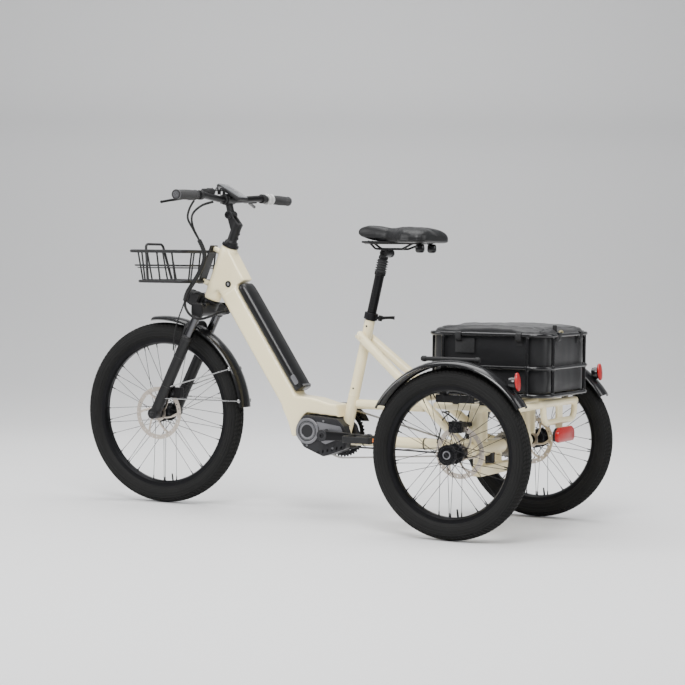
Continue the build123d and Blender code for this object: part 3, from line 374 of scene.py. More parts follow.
def sweep_shape(points, sections, closed=False, up=None):
    """Sweeps sections, one for each point, along a path with the least twist."""
    count = len(points)
    rings = []
    side = None
    for i, p in enumerate(points):
        before = points[(i - 1) % count] if closed or i else p
        after = points[(i + 1) % count] if closed or i < count - 1 else p
        ahead = (after - before).normalized()
        if up is not None:
            side = Vector(up).cross(ahead).normalized()
        elif side is None:
            hint = Vector((0, 0, 1)) if abs(ahead.z) < 0.9 else Vector((1, 0, 0))
            side = hint.cross(ahead).normalized()
        else:
            side = (side - ahead * side.dot(ahead)).normalized()
        top = ahead.cross(side)
        rings.append([p + side * a * MM + top * b * MM for a, b in sections[i]])
    return from_rings(rings, closed_path=closed)


def rounded(points, radius, steps=8, closed=False):
    """A path with its corners turned into arcs of a radius in millimetres."""
    out = []
    count = len(points)
    for i, p in enumerate(points):
        if not closed and i in (0, count - 1):
            out.append(p)
            continue
        a = (points[i - 1] - p)
        b = (points[(i + 1) % count] - p)
        turn = math.pi - a.angle(b)
        if turn < 0.02:
            out.append(p)
            continue
        cut = min(radius * MM * math.tan(turn / 2), 0.48 * a.length, 0.48 * b.length)
        start, end = p + a.normalized() * cut, p + b.normalized() * cut
        for k in range(steps + 1):
            t = k / steps
            out.append(start * (1 - t) ** 2 + p * 2 * t * (1 - t) + end * t ** 2)
    return out


def smooth_path(points, steps=8, closed=False):
    """A Catmull-Rom curve through points."""
    out = []
    count = len(points)
    spans = count if closed else count - 1
    for i in range(spans):
        p0 = points[(i - 1) % count] if closed or i else points[0]
        p1, p2 = points[i], points[(i + 1) % count]
        p3 = points[(i + 2) % count] if closed or i < count - 2 else points[-1]
        for k in range(steps):
            t = k / steps
            out.append(0.5 * ((2 * p1) + (p2 - p0) * t + (2 * p0 - 5 * p1 + 4 * p2 - p3) * t * t
                              + (3 * p1 - p0 - 3 * p2 + p3) * t ** 3))
    if not closed:
        out.append(points[-1])
    return out


def rounded_rect(width, height, corner, steps=5):
    """Points round a rectangle with round corners, in millimetres."""
    out = []
    for cx, cy, start in ((1, 1, 0), (-1, 1, 90), (-1, -1, 180), (1, -1, 270)):
        for k in range(steps + 1):
            a = math.radians(start + 90 * k / steps)
            out.append((cx * (width / 2 - corner) + corner * math.cos(a),
                        cy * (height / 2 - corner) + corner * math.sin(a)))
    return out


def slab(outline, thickness, origin, z_dir, x_dir, holes=(), bevel=0.0):
    """A flat part cut from an outline with holes, in millimetres, centred on its thickness."""
    data = bpy.data.curves.new("flat", "CURVE")
    data.dimensions = "2D"
    data.fill_mode = "BOTH"
    data.extrude = (thickness / 2 - bevel) * MM
    data.bevel_depth = bevel * MM
    data.bevel_resolution = 1
    for loop in (outline, *holes):
        spline = data.splines.new("POLY")
        spline.points.add(len(loop) - 1)
        for point, (x, y) in zip(spline.points, loop):
            point.co = (x * MM, y * MM, 0, 1)
        spline.use_cyclic_u = True
    obj = bpy.data.objects.new("flat", data)
    mesh = bpy.data.meshes.new_from_object(obj)
    bpy.data.objects.remove(obj)
    bpy.data.curves.remove(data)
    mesh.materials.clear()
    return moved(mesh, frame_matrix(origin, z_dir, x_dir))


def circle(radius, cx=0.0, cy=0.0, steps=24):
    return [(cx + radius * math.cos(2 * math.pi * k / steps), cy + radius * math.sin(2 * math.pi * k / steps))
            for k in range(steps)]


def bolt(at, direction, radius=4.0, height=3.0, steps=24):
    """A socket cap screw's head with its hexagonal recess."""
    profile = [(0, height * 0.45), (radius * 0.5, height * 0.45), (radius * 0.5, height * 0.9),
               (radius * 0.6, height), (radius * 0.85, height), (radius, height * 0.8), (radius, 0), (0, 0)]
    return solid_lathe(profile, at, direction, steps)


def cube(size, at, z_dir=(0, 0, 1), x_dir=None, corner=3.0, length_bevel=1.5):
    """A box with rounded long edges and softened ends."""
    w, h, l = size
    rings = []
    for z, shrink in ((-l / 2, length_bevel), (-l / 2 + length_bevel, 0), (l / 2 - length_bevel, 0),
                      (l / 2, length_bevel)):
        ring = rounded_rect(w - 2 * shrink, h - 2 * shrink,
                            max(0.2, min(corner, w / 2 - shrink, h / 2 - shrink)))
        rings.append([Vector((a, b, z)) * MM for a, b in ring])
    return moved(from_rings(rings), frame_matrix(at, z_dir, x_dir))


def rod(start, end, radius, sides=20, soft=0.6):
    """A round bar with softened ends."""
    run = end - start
    length = run.length / MM
    soft = min(soft, radius * 0.4, length * 0.4)
    profile = [(0, 0), (radius - soft, 0), (radius, soft), (radius, length - soft), (radius - soft, length),
               (0, length)]
    return solid_lathe(profile, start, run, sides)


# ---- wheels --------------------------------------------------------------------------------------
def wheel_pieces(prefix, body, axle, tyre_r, rim_in, inboard, disc_y, disc_r, cap_end):
    """Tyre with tread and sidewall rings, rim, spokes with nipples, hub shell and brake rotor."""
    at = axle.copy()
    mid = tyre_r - 30
    # tyre carcass
    profile = []
    for k in range(-62, 63):
        a = math.radians(k * 2.28)
        r = 29.6
        if abs(k) < 26:
            r = 27.8
        for ring in (30, 36, 43, 52):
            if abs(abs(k) - ring) < 0.6:
                r += 0.9
        profile.append((mid + r * math.cos(a), r * math.sin(a)))
    profile += [(rim_in + 17, 15.2), (rim_in + 17, -15.2)]
    tyre = lathe(profile, at, LEFT, 168)
    # chevron tread blocks
    work = bmesh.new()
    work.from_mesh(tyre)
    pitches = 120
    rows = ((2, 10.5, 0.0, 0.55), (12.5, 19.5, 0.25, 0.72), (21.5, 30.0, 0.5, 0.95))
    for i in range(pitches):
        for side in (1, -1):
            for lo, hi, skew_lo, skew_hi in rows:
                verts = []
                for top in (27.2, 29.75):
                    for angle, shift in ((lo, skew_lo), (hi, skew_hi)):
                        for w in (-0.3, 0.3):
                            turn = 2 * math.pi * (i + shift + w * (0.92 if top > 28 else 1.05)) / pitches
                            a = math.radians(angle * 1.9 * 0.98) * side
                            r = mid + top * math.cos(a)
                            verts.append(work.verts.new(at + Vector((r * math.cos(turn), top * math.sin(a),
                                                                     r * math.sin(turn))) * MM))
                b, t = verts[:4], verts[4:]
                for loop in ((t[0], t[1], t[3], t[2]), (b[0], b[1], t[1], t[0]), (b[1], b[3], t[3], t[1]),
                             (b[3], b[2], t[2], t[3]), (b[2], b[0], t[0], t[2])):
                    work.faces.new(loop)
    work.to_mesh(tyre)
    work.free()
    piece(f"{prefix}_tyre_tread", tyre, "tyre", body, (f"{prefix}_tyre",), sharp=30)
    # rim: an eyeleted box section with bead hooks
    rim = lathe([(rim_in, -7), (rim_in + 1.5, -9.5), (rim_in + 6, -16.4), (rim_in + 8, -17),
                 (rim_in + 20, -17), (rim_in + 21, -16.4), (rim_in + 21, -14.6), (rim_in + 9, -14),
                 (rim_in + 7, -11), (rim_in + 7, 11), (rim_in + 9, 14), (rim_in + 21, 14.6),
                 (rim_in + 21, 16.4), (rim_in + 20, 17), (rim_in + 8, 17), (rim_in + 6, 16.4),
                 (rim_in + 1.5, 9.5), (rim_in, 7)], at, LEFT, 144)
    parts, wires = [rim], []
    for side in (1, -1):
        for k in range(18):
            lean = 1 if k % 2 else -1
            start = math.radians(20 * (k + 0.25 * side))
            end = start + lean * math.radians(44)
            a = at + Vector((30 * math.cos(start), side * (25 + 3.1 * lean), 30 * math.sin(start))) * MM
            b = at + Vector((rim_in * math.cos(end), side * (3 + 1.2 * lean), rim_in * math.sin(end))) * MM
            run = (b - a).normalized()
            wires.append(sweep([a, a + run * 0.01, b - run * 0.02, b], [1.15, 1.0, 0.9, 0.95], 8))
            parts.append(solid_lathe([(0, 0), (1.5, 0), (1.9, 1), (1.9, 9), (2.6, 12), (2.6, 15), (0, 15)],
                                     b - run * 0.0125, run, 10))
            head = a - run * 0.0015
            wires.append(solid_lathe([(0, -2.2), (1.6, -2.2), (2.1, -1.4), (2.1, 0.4), (1.2, 1.2), (0, 1.2)],
                                     head, LEFT * side * lean, 12))
    valve = math.radians(262)
    out = Vector((math.cos(valve), 0, math.sin(valve)))
    parts.append(solid_lathe([(0, 0), (2.4, 0), (2.6, 2), (2.6, 8), (3.1, 9), (3.1, 26), (0, 26)],
                             at + out * (rim_in - 24) * MM, out, 16))
    piece(f"{prefix}_rim_box", join(*parts), "black_alloy", body, (f"{prefix}_rim",), sharp=30)
    piece(f"{prefix}_spoke_wires", join(*wires), "black_alloy", body, (f"{prefix}_spokes",), sharp=40)
    # hub shell between its two drilled flanges
    hub = [lathe([(10, -28), (29, -28), (31, -27), (31, -24.5), (29.5, -23.2), (23, -22), (19.5, -18),
                  (17.5, -12), (17, 0), (17.5, 12), (19.5, 18), (23, 22), (29.5, 23.2), (31, 24.5), (31, 27),
                  (29, 28), (10, 28)], at, LEFT, 96)]
    out_side = -inboard
    reach = abs(cap_end - at.y / MM)
    face = at + LEFT * out_side * 28 * MM
    tall = reach - 28
    if prefix == "front":
        hub.append(solid_lathe([(0, 0), (17, 0), (17, tall * 0.4), (13, tall * 0.55), (9, tall), (0, tall)],
                               face, LEFT * out_side, 48))
        hub.append(solid_lathe([(0, -2), (17, -2), (16.5, 10), (12, 13.5), (0, 13.5)],
                               at + LEFT * inboard * 28 * MM, LEFT * inboard, 48))
    else:
        hub.append(solid_lathe([(0, 0), (24, 0), (24, tall - 4), (22.6, tall - 1.4), (19, tall - 0.4),
                                (17.5, tall - 0.3), (16.5, tall - 1.6), (9.5, tall - 1.6), (9, tall),
                                (0, tall)], face, LEFT * out_side, 64))
        hub.append(solid_lathe([(0, 0), (17, 0), (17, 36), (0, 36)], at + LEFT * inboard * 28 * MM,
                               LEFT * inboard, 48))
        hub.append(rod(at + LEFT * inboard * 60 * MM, Vector((at.x, inboard * -1 * 0.152, at.z)), 9.8))
        for k in range(5):
            turn = 2 * math.pi * (k + 0.3) / 5
            spot = face + Vector((20.2 * math.cos(turn), 0,
                                  20.2 * math.sin(turn))) * MM + LEFT * out_side * (tall - 3) * MM
            hub.append(bolt(spot, LEFT * out_side, 1.9, 2.2, 14))
        for k in range(10):
            turn = 2 * math.pi * k / 10
            way = Vector((math.cos(turn), 0, math.sin(turn)))
            hub.append(cube((4, 11, 7), at + way * 0.0275 + LEFT * out_side * 29.5 * MM, way, LEFT, 1, 0.6))
    piece(f"{prefix}_hub_shell", join(*hub), "black_alloy", body, (f"{prefix}_hub",), sharp=34)
    if prefix != "front":
        cap = solid_lathe([(0, 0), (16, 0), (16, 1.2), (14, 2.6), (9.5, 3.6), (0, 4)],
                          face + LEFT * out_side * (tall - 4.4) * MM, LEFT * out_side, 48)
        piece(f"{prefix}_hub_cap", cap, "motor_grey", body, sharp=34)
    # rotor: a drilled ring carried on curved arms
    outline = circle(disc_r, steps=120)
    ring_in = circle(disc_r - 15, steps=96)
    spot = Vector((at.x, disc_y * MM, at.z))
    rotor = [slab(outline, 1.9, spot, LEFT, (1, 0, 0),
                  [ring_in] + [circle(2.4, (disc_r - 7.5 + d) * math.cos(t), (disc_r - 7.5 + d) * math.sin(t),
                                      10) for k in range(30) for d,
                               t in (((3.4, 0, -3.4)[k % 3], 2 * math.pi * k / 30),)])]
    for k in range(6):
        turn = 2 * math.pi * k / 6
        bend = [(20, 0.62), (34, 0.42), (52, 0.2), (disc_r - 13, 0.0)]
        arm = [Vector((r * math.cos(turn + t), 0, r * math.sin(turn + t))) * MM + spot for r, t in bend]
        rotor.append(sweep_shape(smooth_path(arm, 4), [rounded_rect(9 - 2.5 * math.sin(math.pi * i / 12), 1.9,
                                                                    0.7, 2) for i in range(13)], up=LEFT))
    rotor.append(lathe([(17.6, -0.95), (27, -0.95), (27, 0.95), (17.6, 0.95)], spot, LEFT, 48))
    for k in range(6):
        turn = 2 * math.pi * (k + 0.5) / 6
        here = spot + Vector((22 * math.cos(turn), 0, 22 * math.sin(turn))) * MM + LEFT * inboard * 0.9 * MM
        rotor.append(bolt(here, LEFT * inboard, 2.6, 1.4, 12))
    piece(f"{prefix}_rotor", join(*rotor), "disc_steel", body, (f"{prefix}_disc",), sharp=34)


wheel_pieces("front", "front_wheel", FRONT_AXLE, FRONT_TYRE_R, 237, 1, 41, 90, -38)
wheel_pieces("rear_left", "rear_wheel_left", REAR_AXLES[1], REAR_TYRE_R, 190, -1, 276, 80, 374)
wheel_pieces("rear_right", "rear_wheel_right", REAR_AXLES[-1], REAR_TYRE_R, 190, 1, -276, 80, -374)


# ---- painted frame: one welded skin over the frame's tubes ---------------------------------------
def cad_mesh(*names):
    """A joined copy of CAD nodes' meshes."""
    work = bmesh.new()
    for name in names:
        work.from_mesh(frame["nodes"][name].data)
    bmesh.ops.remove_doubles(work, verts=work.verts, dist=1e-5)
    mesh = bpy.data.meshes.new("copy")
    work.to_mesh(mesh)
    work.free()
    return mesh


def remeshed(mesh, voxel, smooth, factor):
    """The mesh voxel-remeshed at a size in millimetres, then relaxed."""
    obj = bpy.data.objects.new("skin", mesh)
    bpy.context.scene.collection.objects.link(obj)
    mod = obj.modifiers.new("voxels", "REMESH")
    mod.mode = "VOXEL"
    mod.voxel_size = voxel * MM
    mod.use_smooth_shade = True
    mod = obj.modifiers.new("relax", "SMOOTH")
    mod.factor = factor
    mod.iterations = smooth
    shown = obj.evaluated_get(bpy.context.evaluated_depsgraph_get())
    out = bpy.data.meshes.new_from_object(shown)
    bpy.data.objects.remove(obj)
    return out


def casting(node, voxel, smooth, factor):
    """One CAD node's skin with its corners and joints blended."""
    return remeshed(cad_mesh(node), voxel, smooth, factor)


SKIN_VOXEL = 2.5
box_core = cube((76, 62, 420), tube_at(68, 35), TUBE_UP, LEFT, 12, 2)
head_core = lathe([(25.5, -189), (29.4, -189), (29.4, -3), (25.5, -3)], steer(0), STEER_UP, 64)
skin = remeshed(join(cad_mesh("head_tube", "down_tube", "motor_cradle"), box_core, head_core), SKIN_VOXEL,
                36, 0.6)
piece("frame_main_skin", skin, "frame_paint", "frame", ("head_tube", "down_tube", "motor_cradle"), sharp=60)
cores = []
for s in (1, -1):
    top, end = V(-183.2, s * 27.7, 587.6), V(-567.7, s * 94.4, 275)
    cores.append(rod(top.lerp(end, 0.02), end, 13.8))
    cores.append(rod(AXLE_MID + V(0, s * 115, 0), AXLE_MID + V(0, s * 236, 0), 24.2))
cores += [rod(V(-407, -66, 404), V(-407, 66, 404), 11.4), rod(V(-150, 0, 372), V(-392, 0, 372), 15.4),
          rod(V(-112, 0, 254), V(-631, 0, 254), 17.8), cube((24, 26, 396), V(-670, 0, 198), LEFT, (1, 0, 0),
                                                            1, 1)]
rear = remeshed(join(cad_mesh("rear_tubes", "axle_housing"), *cores), SKIN_VOXEL, 3, 0.5)
piece("rear_frame_skin", rear, "frame_paint", "frame", ("rear_tubes", "axle_housing"), sharp=60)
seat_skin = lathe([(15.8, -58), (17.5, -58), (18.6, 20), (18.2, 120), (17.5, 200), (17.5, 372), (15.8, 372)],
                  seat(0), SEAT_UP, 64)
piece("seat_tube_skin", seat_skin, "frame_paint", "frame", ("seat_tube",), sharp=60)
rack_cores = [rod(V(-670, s * 190, 214), V(-670, s * 190, 392), 14.4) for s in (1, -1)]
rack_cores += [rod(V(x, -199, 396), V(x, 199, 396), 9.5) for x in (-529, -700)]
rack = remeshed(join(cad_mesh("rack_frame"), *rack_cores), SKIN_VOXEL, 2, 0.45)
piece("rack_skin", rack, "frame_paint", "frame", ("rack_frame",), sharp=60)
# seat tube's weld beads, clamp collar and rivet
beads = []


def bead(at, axis, radius, width=3.0, lump=0.35, steps=72):
    """A ring of overlapping weld scallops round a tube."""
    to = frame_matrix(at, axis)
    rings = []
    for i in range(steps * 2):
        a = math.pi * i / steps
        swell = 1 + lump * (0.5 + 0.5 * math.cos(i * math.pi * 2 / 4.0)) * 0.5
        ring = []
        for k in range(10):
            b = 2 * math.pi * k / 10
            r = radius + math.cos(b) * width * 0.55 * swell
            ring.append(to @ (Vector((r * math.cos(a), r * math.sin(a), math.sin(b) * width * swell)) * MM))
        rings.append(ring)
    return from_rings(rings, closed_path=True)


beads.append(bead(seat(118), SEAT_UP, 17.2))
for s in (1, -1):
    beads.append(bead(AXLE_MID + V(15, s * 94, 4), (1, 0, 0), 12, 2.4))
beads.append(bead(V(-393, 0, 372), (1, 0, 0), 14.5, 2.0))
piece("weld_beads", join(*beads), "frame_paint", "frame", sharp=50)
collar = [lathe([(17.7, 0), (21.6, 0), (22.4, 1), (22.4, 21), (21.6, 22), (17.7, 22)], seat(374.5), SEAT_UP,
                64), cube((13, 16, 9), seat(386, 24), SEAT_UP, LEFT, 2, 1.2),
          bolt(seat(386, 25, 7), LEFT, 3.6, 4)]
piece("seat_collar", join(*collar), "black_alloy", "frame", sharp=34)
rivets = [solid_lathe([(0, 0), (3.4, 0), (3.2, 1.2), (1.8, 2.1), (0, 2.4)], seat(up, 0, 17.2), LEFT, 24)
          for up in (352, 142)]
rivets += [bolt(V(-393, 0, 372), (-1, 0, 0), 9.0, 4.5, 32)]
rivets += [bolt(V(-634, s * 105.6, 263), (0, s, 0), 4.4, 3.4) for s in (1, -1)]
piece("frame_bolts", join(*rivets), "crank_black", "frame", sharp=34)
cups = [lathe([(16, 0), (28.6, 0), (29.2, 1.2), (29.2, 8), (28, 9.4), (24, 10.5), (16, 10.5)], steer(-1),
              STEER_UP, 64), lathe([(16, 0), (28.6, 0), (29.2, 1.2), (29.2, 7), (28, 8.4), (16, 8.4)],
                                   steer(193), -STEER_UP, 64)]
piece("headset_cups", join(*cups), "black_alloy", "frame", sharp=34)

# ---- fork ----------------------------------------------------------------------------------------
crown = casting("fork_crown", 2.2, 6, 0.5)
piece("fork_crown_forging", crown, "fork_black", "fork_upper", ("fork_crown",), sharp=60)
inner = []
for s in (1, -1):
    inner.append(rod(leg(-18, 0, s * LEG_Y), leg(86, 0, s * LEG_Y), 14.2, 40))
piece("fork_stanchions", join(*inner), "stanchion_dark", "fork_upper", ("stanchions",), sharp=40)
caps = []
for s in (1, -1):
    caps.append(solid_lathe([(0, 0), (17, 0), (18.4, 1.5), (18.4, 9), (16, 12.4), (8, 13.2), (7, 12),
                             (0, 12)], leg(-34, 0, s * LEG_Y), LEG_UP, 48))
piece("fork_top_caps", join(*caps), "bar_black", "fork_upper", sharp=34)
lowers = [casting("fork_lowers", 2.2, 5, 0.5)]
for s in (1, -1):
    lowers.append(lathe([(14.6, 0), (19.6, 0), (20.4, 1.5), (20.4, 9), (19, 11.5), (16.4, 13.5),
                         (14.6, 13.5)], leg(83, 0, s * LEG_Y), LEG_UP, 48))
    for d in (150, 262):
        lowers.append(lathe([(18.6, -1.2), (19.7, -1), (19.7, 1), (18.6, 1.2)], leg(d, 0, s * LEG_Y), LEG_UP,
                            48))
    nut = FRONT_AXLE + LEFT * s * 77 * MM
    lowers.append(solid_lathe([(0, -6), (13, -6), (14, -4.5), (14, 2), (12.5, 3.4), (9, 3.4), (8.4, 8),
                               (6.5, 10), (0, 10)], nut, LEFT * s, 40))
piece("fork_lower_casting", join(*lowers), "fork_black", "fork_lower", ("fork_lowers",), sharp=60)


def fender_strip(centre_at, radius, start, end, half, y, crown_rise, wall=1.6, steps=72, lip=6.0, taper=0.0):
    """A rolled fender: an arched cross-section with turned edges along an arc (degrees from +X)."""
    rings = []
    for i in range(steps + 1):
        t = i / steps
        a = math.radians(start + (end - start) * t)
        way = Vector((math.cos(a), 0, math.sin(a)))
        edge = min(t, 1 - t) * (end - start) / 6.0
        k = min(1.0, max(0.0, edge))
        w = half * (1 - taper + taper * (1 - (1 - k) ** 2))
        outer, inner_side = [], []
        for j in range(-8, 9):
            u = j / 8
            rise = crown_rise * (1 - u * u) ** 0.7 if abs(u) < 1 else 0
            outer.append((u * w, radius + rise))
            inner_side.append((u * (w - wall * 0.4), radius + rise - wall - (0.4 if abs(u) == 1 else 0)))
        profile = [(-w - 0.4, radius - lip)] + outer + [(w + 0.4, radius - lip)]
        profile += [(w - wall, radius - lip)] + inner_side[::-1] + [(-w + wall, radius - lip)]
        rings.append([centre_at + way * r * MM + LEFT * (y + s) * MM for s, r in profile])
    return from_rings(rings)


arcs = [fender_strip(FRONT_AXLE, 321.6, 82.8, 174.4, 34.5, 0, 12.2, lip=3)]
piece("front_fender_shell", join(*arcs), "gloss_black", "fork_lower", ("front_fender",), sharp=45)
stays = []
for s in (1, -1):
    for angle, root in ((170.5, leg(300, -19, s * 68)), (150, leg(252, -20, s * 68))):
        far = FRONT_AXLE + Vector((math.cos(math.radians(angle)), 0,
                                   math.sin(math.radians(angle)))) * 0.3215 + LEFT * s * 36 * MM
        knee = root.lerp(far, 0.06) + LEFT * s * 3 * MM
        stays.append(sweep(smooth_path([root, knee, far.lerp(root, 0.08), far], 6), 2.1, 10))
        stays.append(cube((8, 12, 3), far + LEFT * s * 1.2 * MM, (0, 1, 0), far - root, 2, 0.6))
piece("front_fender_stays", join(*stays), "bright_steel", "fork_lower", sharp=40)


def on_bar(out, side, front=0, up=0):
    """A point on the handlebar's outer run, measured out from its bend, in millimetres."""
    run = (Vector((326, 364, 1048)) - Vector((338, 180, 1052))).normalized()
    p = Vector((338, 180, 1052)) + run * out + Vector((front, 0, up))
    return Vector((p.x, p.y * side, p.z)) * MM


def side_plate(outline, y, thickness, holes=(), bevel=0.8):
    """A flat part whose outline is given in X and Z, centred at y."""
    turned = [[(z, x) for x, z in loop] for loop in (outline, *holes)]
    return slab(turned[0], thickness, V(0, y, 0), LEFT, (0, 0, 1), turned[1:], bevel)


def soft_outline(points, radius, steps=6):
    """An outline in X and Z with round corners."""
    path = rounded([Vector((x, 0, z)) for x, z in points], radius / MM, steps, closed=True)
    return [(p.x, p.z) for p in path]


# headlight
light = [cube((54, 50, 40), steer(214, 55), STEER_FRONT, LEFT, 14, 5),
         lathe([(18, 0), (26, 0), (26.4, 2), (26.4, 10), (25, 13), (22, 13), (20, 9)], steer(214, 74),
               STEER_FRONT, 64), cube((20, 26, 16), steer(214, 36), STEER_FRONT, LEFT, 3, 1.5)]
for k in range(-3, 4):
    light.append(cube((1.6, 40, 3), steer(214, 52) + LEFT * k * 6.5 * MM + STEER_UP * 24.5 * MM,
                      STEER_UP, STEER_FRONT, 0.6, 0.5))
piece("headlight_shell", join(*light), "matte_black", "fork_upper", ("headlight",), sharp=34)
lens = solid_lathe([(0, 0), (21.5, 0), (21.5, 2), (18, 6), (10, 8.2), (0, 9)], steer(214, 77), STEER_FRONT,
                   64)
piece("headlight_lens", lens, "display_grey", "fork_upper", sharp=34)
# front caliper: split body, bridge, two bolts, hose banjo
low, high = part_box("front_caliper")
mid_c = (low + high) / 2
cal = [remeshed(cad_mesh("front_caliper"), 1.6, 3, 0.5)]
for d in (-22, 22):
    cal.append(bolt(mid_c + LEG_UP * d * MM + LEFT * 13 * MM, LEFT, 4.4, 4))
cal.append(solid_lathe([(0, 0), (9, 0), (10, 1), (10, 3), (8, 4), (0, 4)], mid_c + LEFT * 12.5 * MM, LEFT,
                       40))
piece("front_caliper_body", join(*cal), "crank_black", "fork_lower", ("front_caliper",), sharp=40)

# ---- handlebar -----------------------------------------------------------------------------------
bar_points = [on_bar(184.4, 1), on_bar(0, 1), V(352, 60, 1043), V(352, -60, 1043), on_bar(0, -1),
              on_bar(184.4, -1)]
bar = sweep(rounded(bar_points, 45, 10), 11.1, 32)
piece("handlebar_tube", bar, "bar_black", "handlebar", ("handlebar",), sharp=40)
STEM_PIVOT, BAR_CENTRE = V(340, 0, 991), V(352, 0, 1043)
arm_path = smooth_path([V(340, 0, 990), V(342, 0, 1004), V(347, 0, 1024), V(352, 0, 1042)], 5)
arm = [sweep_shape(arm_path, [rounded_rect(19, 25 + 4 * abs(i / (len(arm_path) - 1) - 0.5), 6, 4)
                              for i in range(len(arm_path))], up=LEFT),
       lathe([(4.4, -9.6), (11, -9.6), (12, -8.6), (12, 8.6), (11, 9.6), (4.4, 9.6)], STEM_PIVOT, LEFT, 48),
       lathe([(11.2, -22), (18, -22), (19, -21), (19, 21), (18, 22), (11.2, 22)], BAR_CENTRE, LEFT, 56)]
for y in (-15, 15):
    for z in (-11, 11):
        arm.append(bolt(BAR_CENTRE + V(17.5, y, z), (1, 0, 0), 3.6, 4))
piece("stem_swan", join(*arm), "fork_black", "handlebar", ("stem_arm",), sharp=34)
yoke = [bolt(V(340, 16, 991), LEFT, 13.6, 5.2, 48), bolt(V(340, -16, 991), -LEFT, 13.6, 5.2, 48),
        bolt(steer(-52, -16, 0), -STEER_FRONT, 4, 4), bolt(steer(-36, -16, 0), -STEER_FRONT, 4, 4)]
piece("stem_bolts", join(*yoke), "crank_black", "fork_upper", sharp=34)


def grip_mesh(side, start):
    """A rubber grip: a flared collar, ribbed bands, a palm swell and an end cap."""
    length = 185 - start
    origin = on_bar(start, side)
    run = (on_bar(185, side) - origin).normalized()
    to = frame_matrix(origin, run, (0, 0, 1))
    rings = []
    steps = 150
    for i in range(steps + 1):
        h = length * i / steps
        t = h / length
        swell = 14.4 + 1.4 * math.sin(math.pi * t)
        if h < 5:
            swell = 16.4
        elif h > length - 6:
            swell = 16.3
        ring = []
        for k in range(48):
            a = 2 * math.pi * k / 48
            r = swell
            if 8 < h < length - 10:
                r += 0.45 * (1 if int(h / 2.6) % 2 else -0.4)
                r += 0.35 * math.cos(12 * a)
            ring.append(to @ (Vector((r * math.cos(a), r * math.sin(a), h)) * MM))
        rings.append(ring)
    return from_rings(rings)


piece("grip_rubber_pair", join(grip_mesh(1, 56), grip_mesh(-1, 76)), "grip_rubber", "handlebar", ("grips",),
      sharp=40)
ends = [solid_lathe([(0, -1.2), (15.2, -1.2), (16.4, 0), (16.4, 2.8), (15, 4.2), (11, 4.6), (0, 4.6)],
              on_bar(180.4, s), on_bar(185, s) - on_bar(0, s), 48) for s in (1, -1)]
piece("grip_end_caps", join(*ends), "motor_grey", "handlebar", sharp=34)
twist = [lathe([(11.6, 0), (18, 0), (19, 1), (19, 5), (17.6, 6.5), (17.6, 22), (19, 24), (19, 28), (18, 29),
                (11.6, 29)], on_bar(46, -1), on_bar(100, -1) - on_bar(0, -1), 72)]
for k in range(24):
    a = 2 * math.pi * k / 24
    run = (on_bar(100, -1) - on_bar(0, -1)).normalized()
    to = frame_matrix(on_bar(60.2, -1), run)
    way = (to.to_3x3() @ Vector((math.cos(a), math.sin(a), 0)))
    twist.append(cube((1.9, 14.5, 2.2), on_bar(60.2, -1) + way * 0.0177, way, way.cross(run), 0.8, 0.4))
piece("twist_ring", join(*twist), "shifter_silver", "twist_shifter", ("twist_shifter",), sharp=34)
controls = []
for s in (1, -1):
    run = on_bar(100, s) - on_bar(0, s)
    controls.append(lathe([(11.2, 0), (15, 0), (16, 1), (16, 17), (15, 18), (11.2, 18)], on_bar(14, s), run,
                          48))
    pivot = V(380, 196 * s, 1044)
    controls.append(sweep([on_bar(16, s, 12, -3), on_bar(15, s, 24, -4), pivot + V(-12, 0, 0)], [8.5, 8, 7.5],
                          20))
    controls.append(cube((24, 15, 17), pivot + V(-11, 0, 0), (0, 0, 1), (1, 0, 0), 4, 2))
    for z in (7, -7):
        controls.append(solid_lathe([(0, -2), (7.4, -2), (8, -1.3), (8, 1.3), (7.4, 2), (0, 2)],
                                    pivot + V(0, 0, z), (0, 0, 1), 40))
    controls.append(bolt(pivot + V(0, 0, 9), (0, 0, 1), 3.4, 1.6))
    controls.append(solid_lathe([(0, 0), (5.4, 0), (5.4, 9), (4.2, 11), (4.2, 16), (0, 16)],
                                pivot + V(4, -s * 12, -2), (0.5, -s * 0.85, -0.15), 24))
controls.append(cube((33, 19, 43), V(358, 118, 1066), LEFT, (1, 0, 0), 6, 3))
for k, y in enumerate((104, 116, 128)):
    controls.append(solid_lathe([(0, 0), (4.4, 0), (4.6, 0.6), (4, 1.8), (0, 2.2)], V(352, y, 1075.5),
                                (0, 0, 1), 24))
piece("bar_clamps", join(*controls), "matte_black", "handlebar", ("bar_controls",), sharp=34)
bell = [solid_lathe([(0, 15.5), (5, 15), (10, 12.6), (13, 8.4), (14, 3), (14, 0), (12.6, -1), (6, -1.4),
                     (6, -12), (0, -12)], V(358, 48, 1070), (0, 0, 1), 64),
        sweep([V(372, 48, 1068), V(378, 52, 1072), V(381, 58, 1079)], [2.2, 2.2, 3.2], 12)]
piece("bell", join(*bell), "gloss_black", "handlebar", sharp=34)
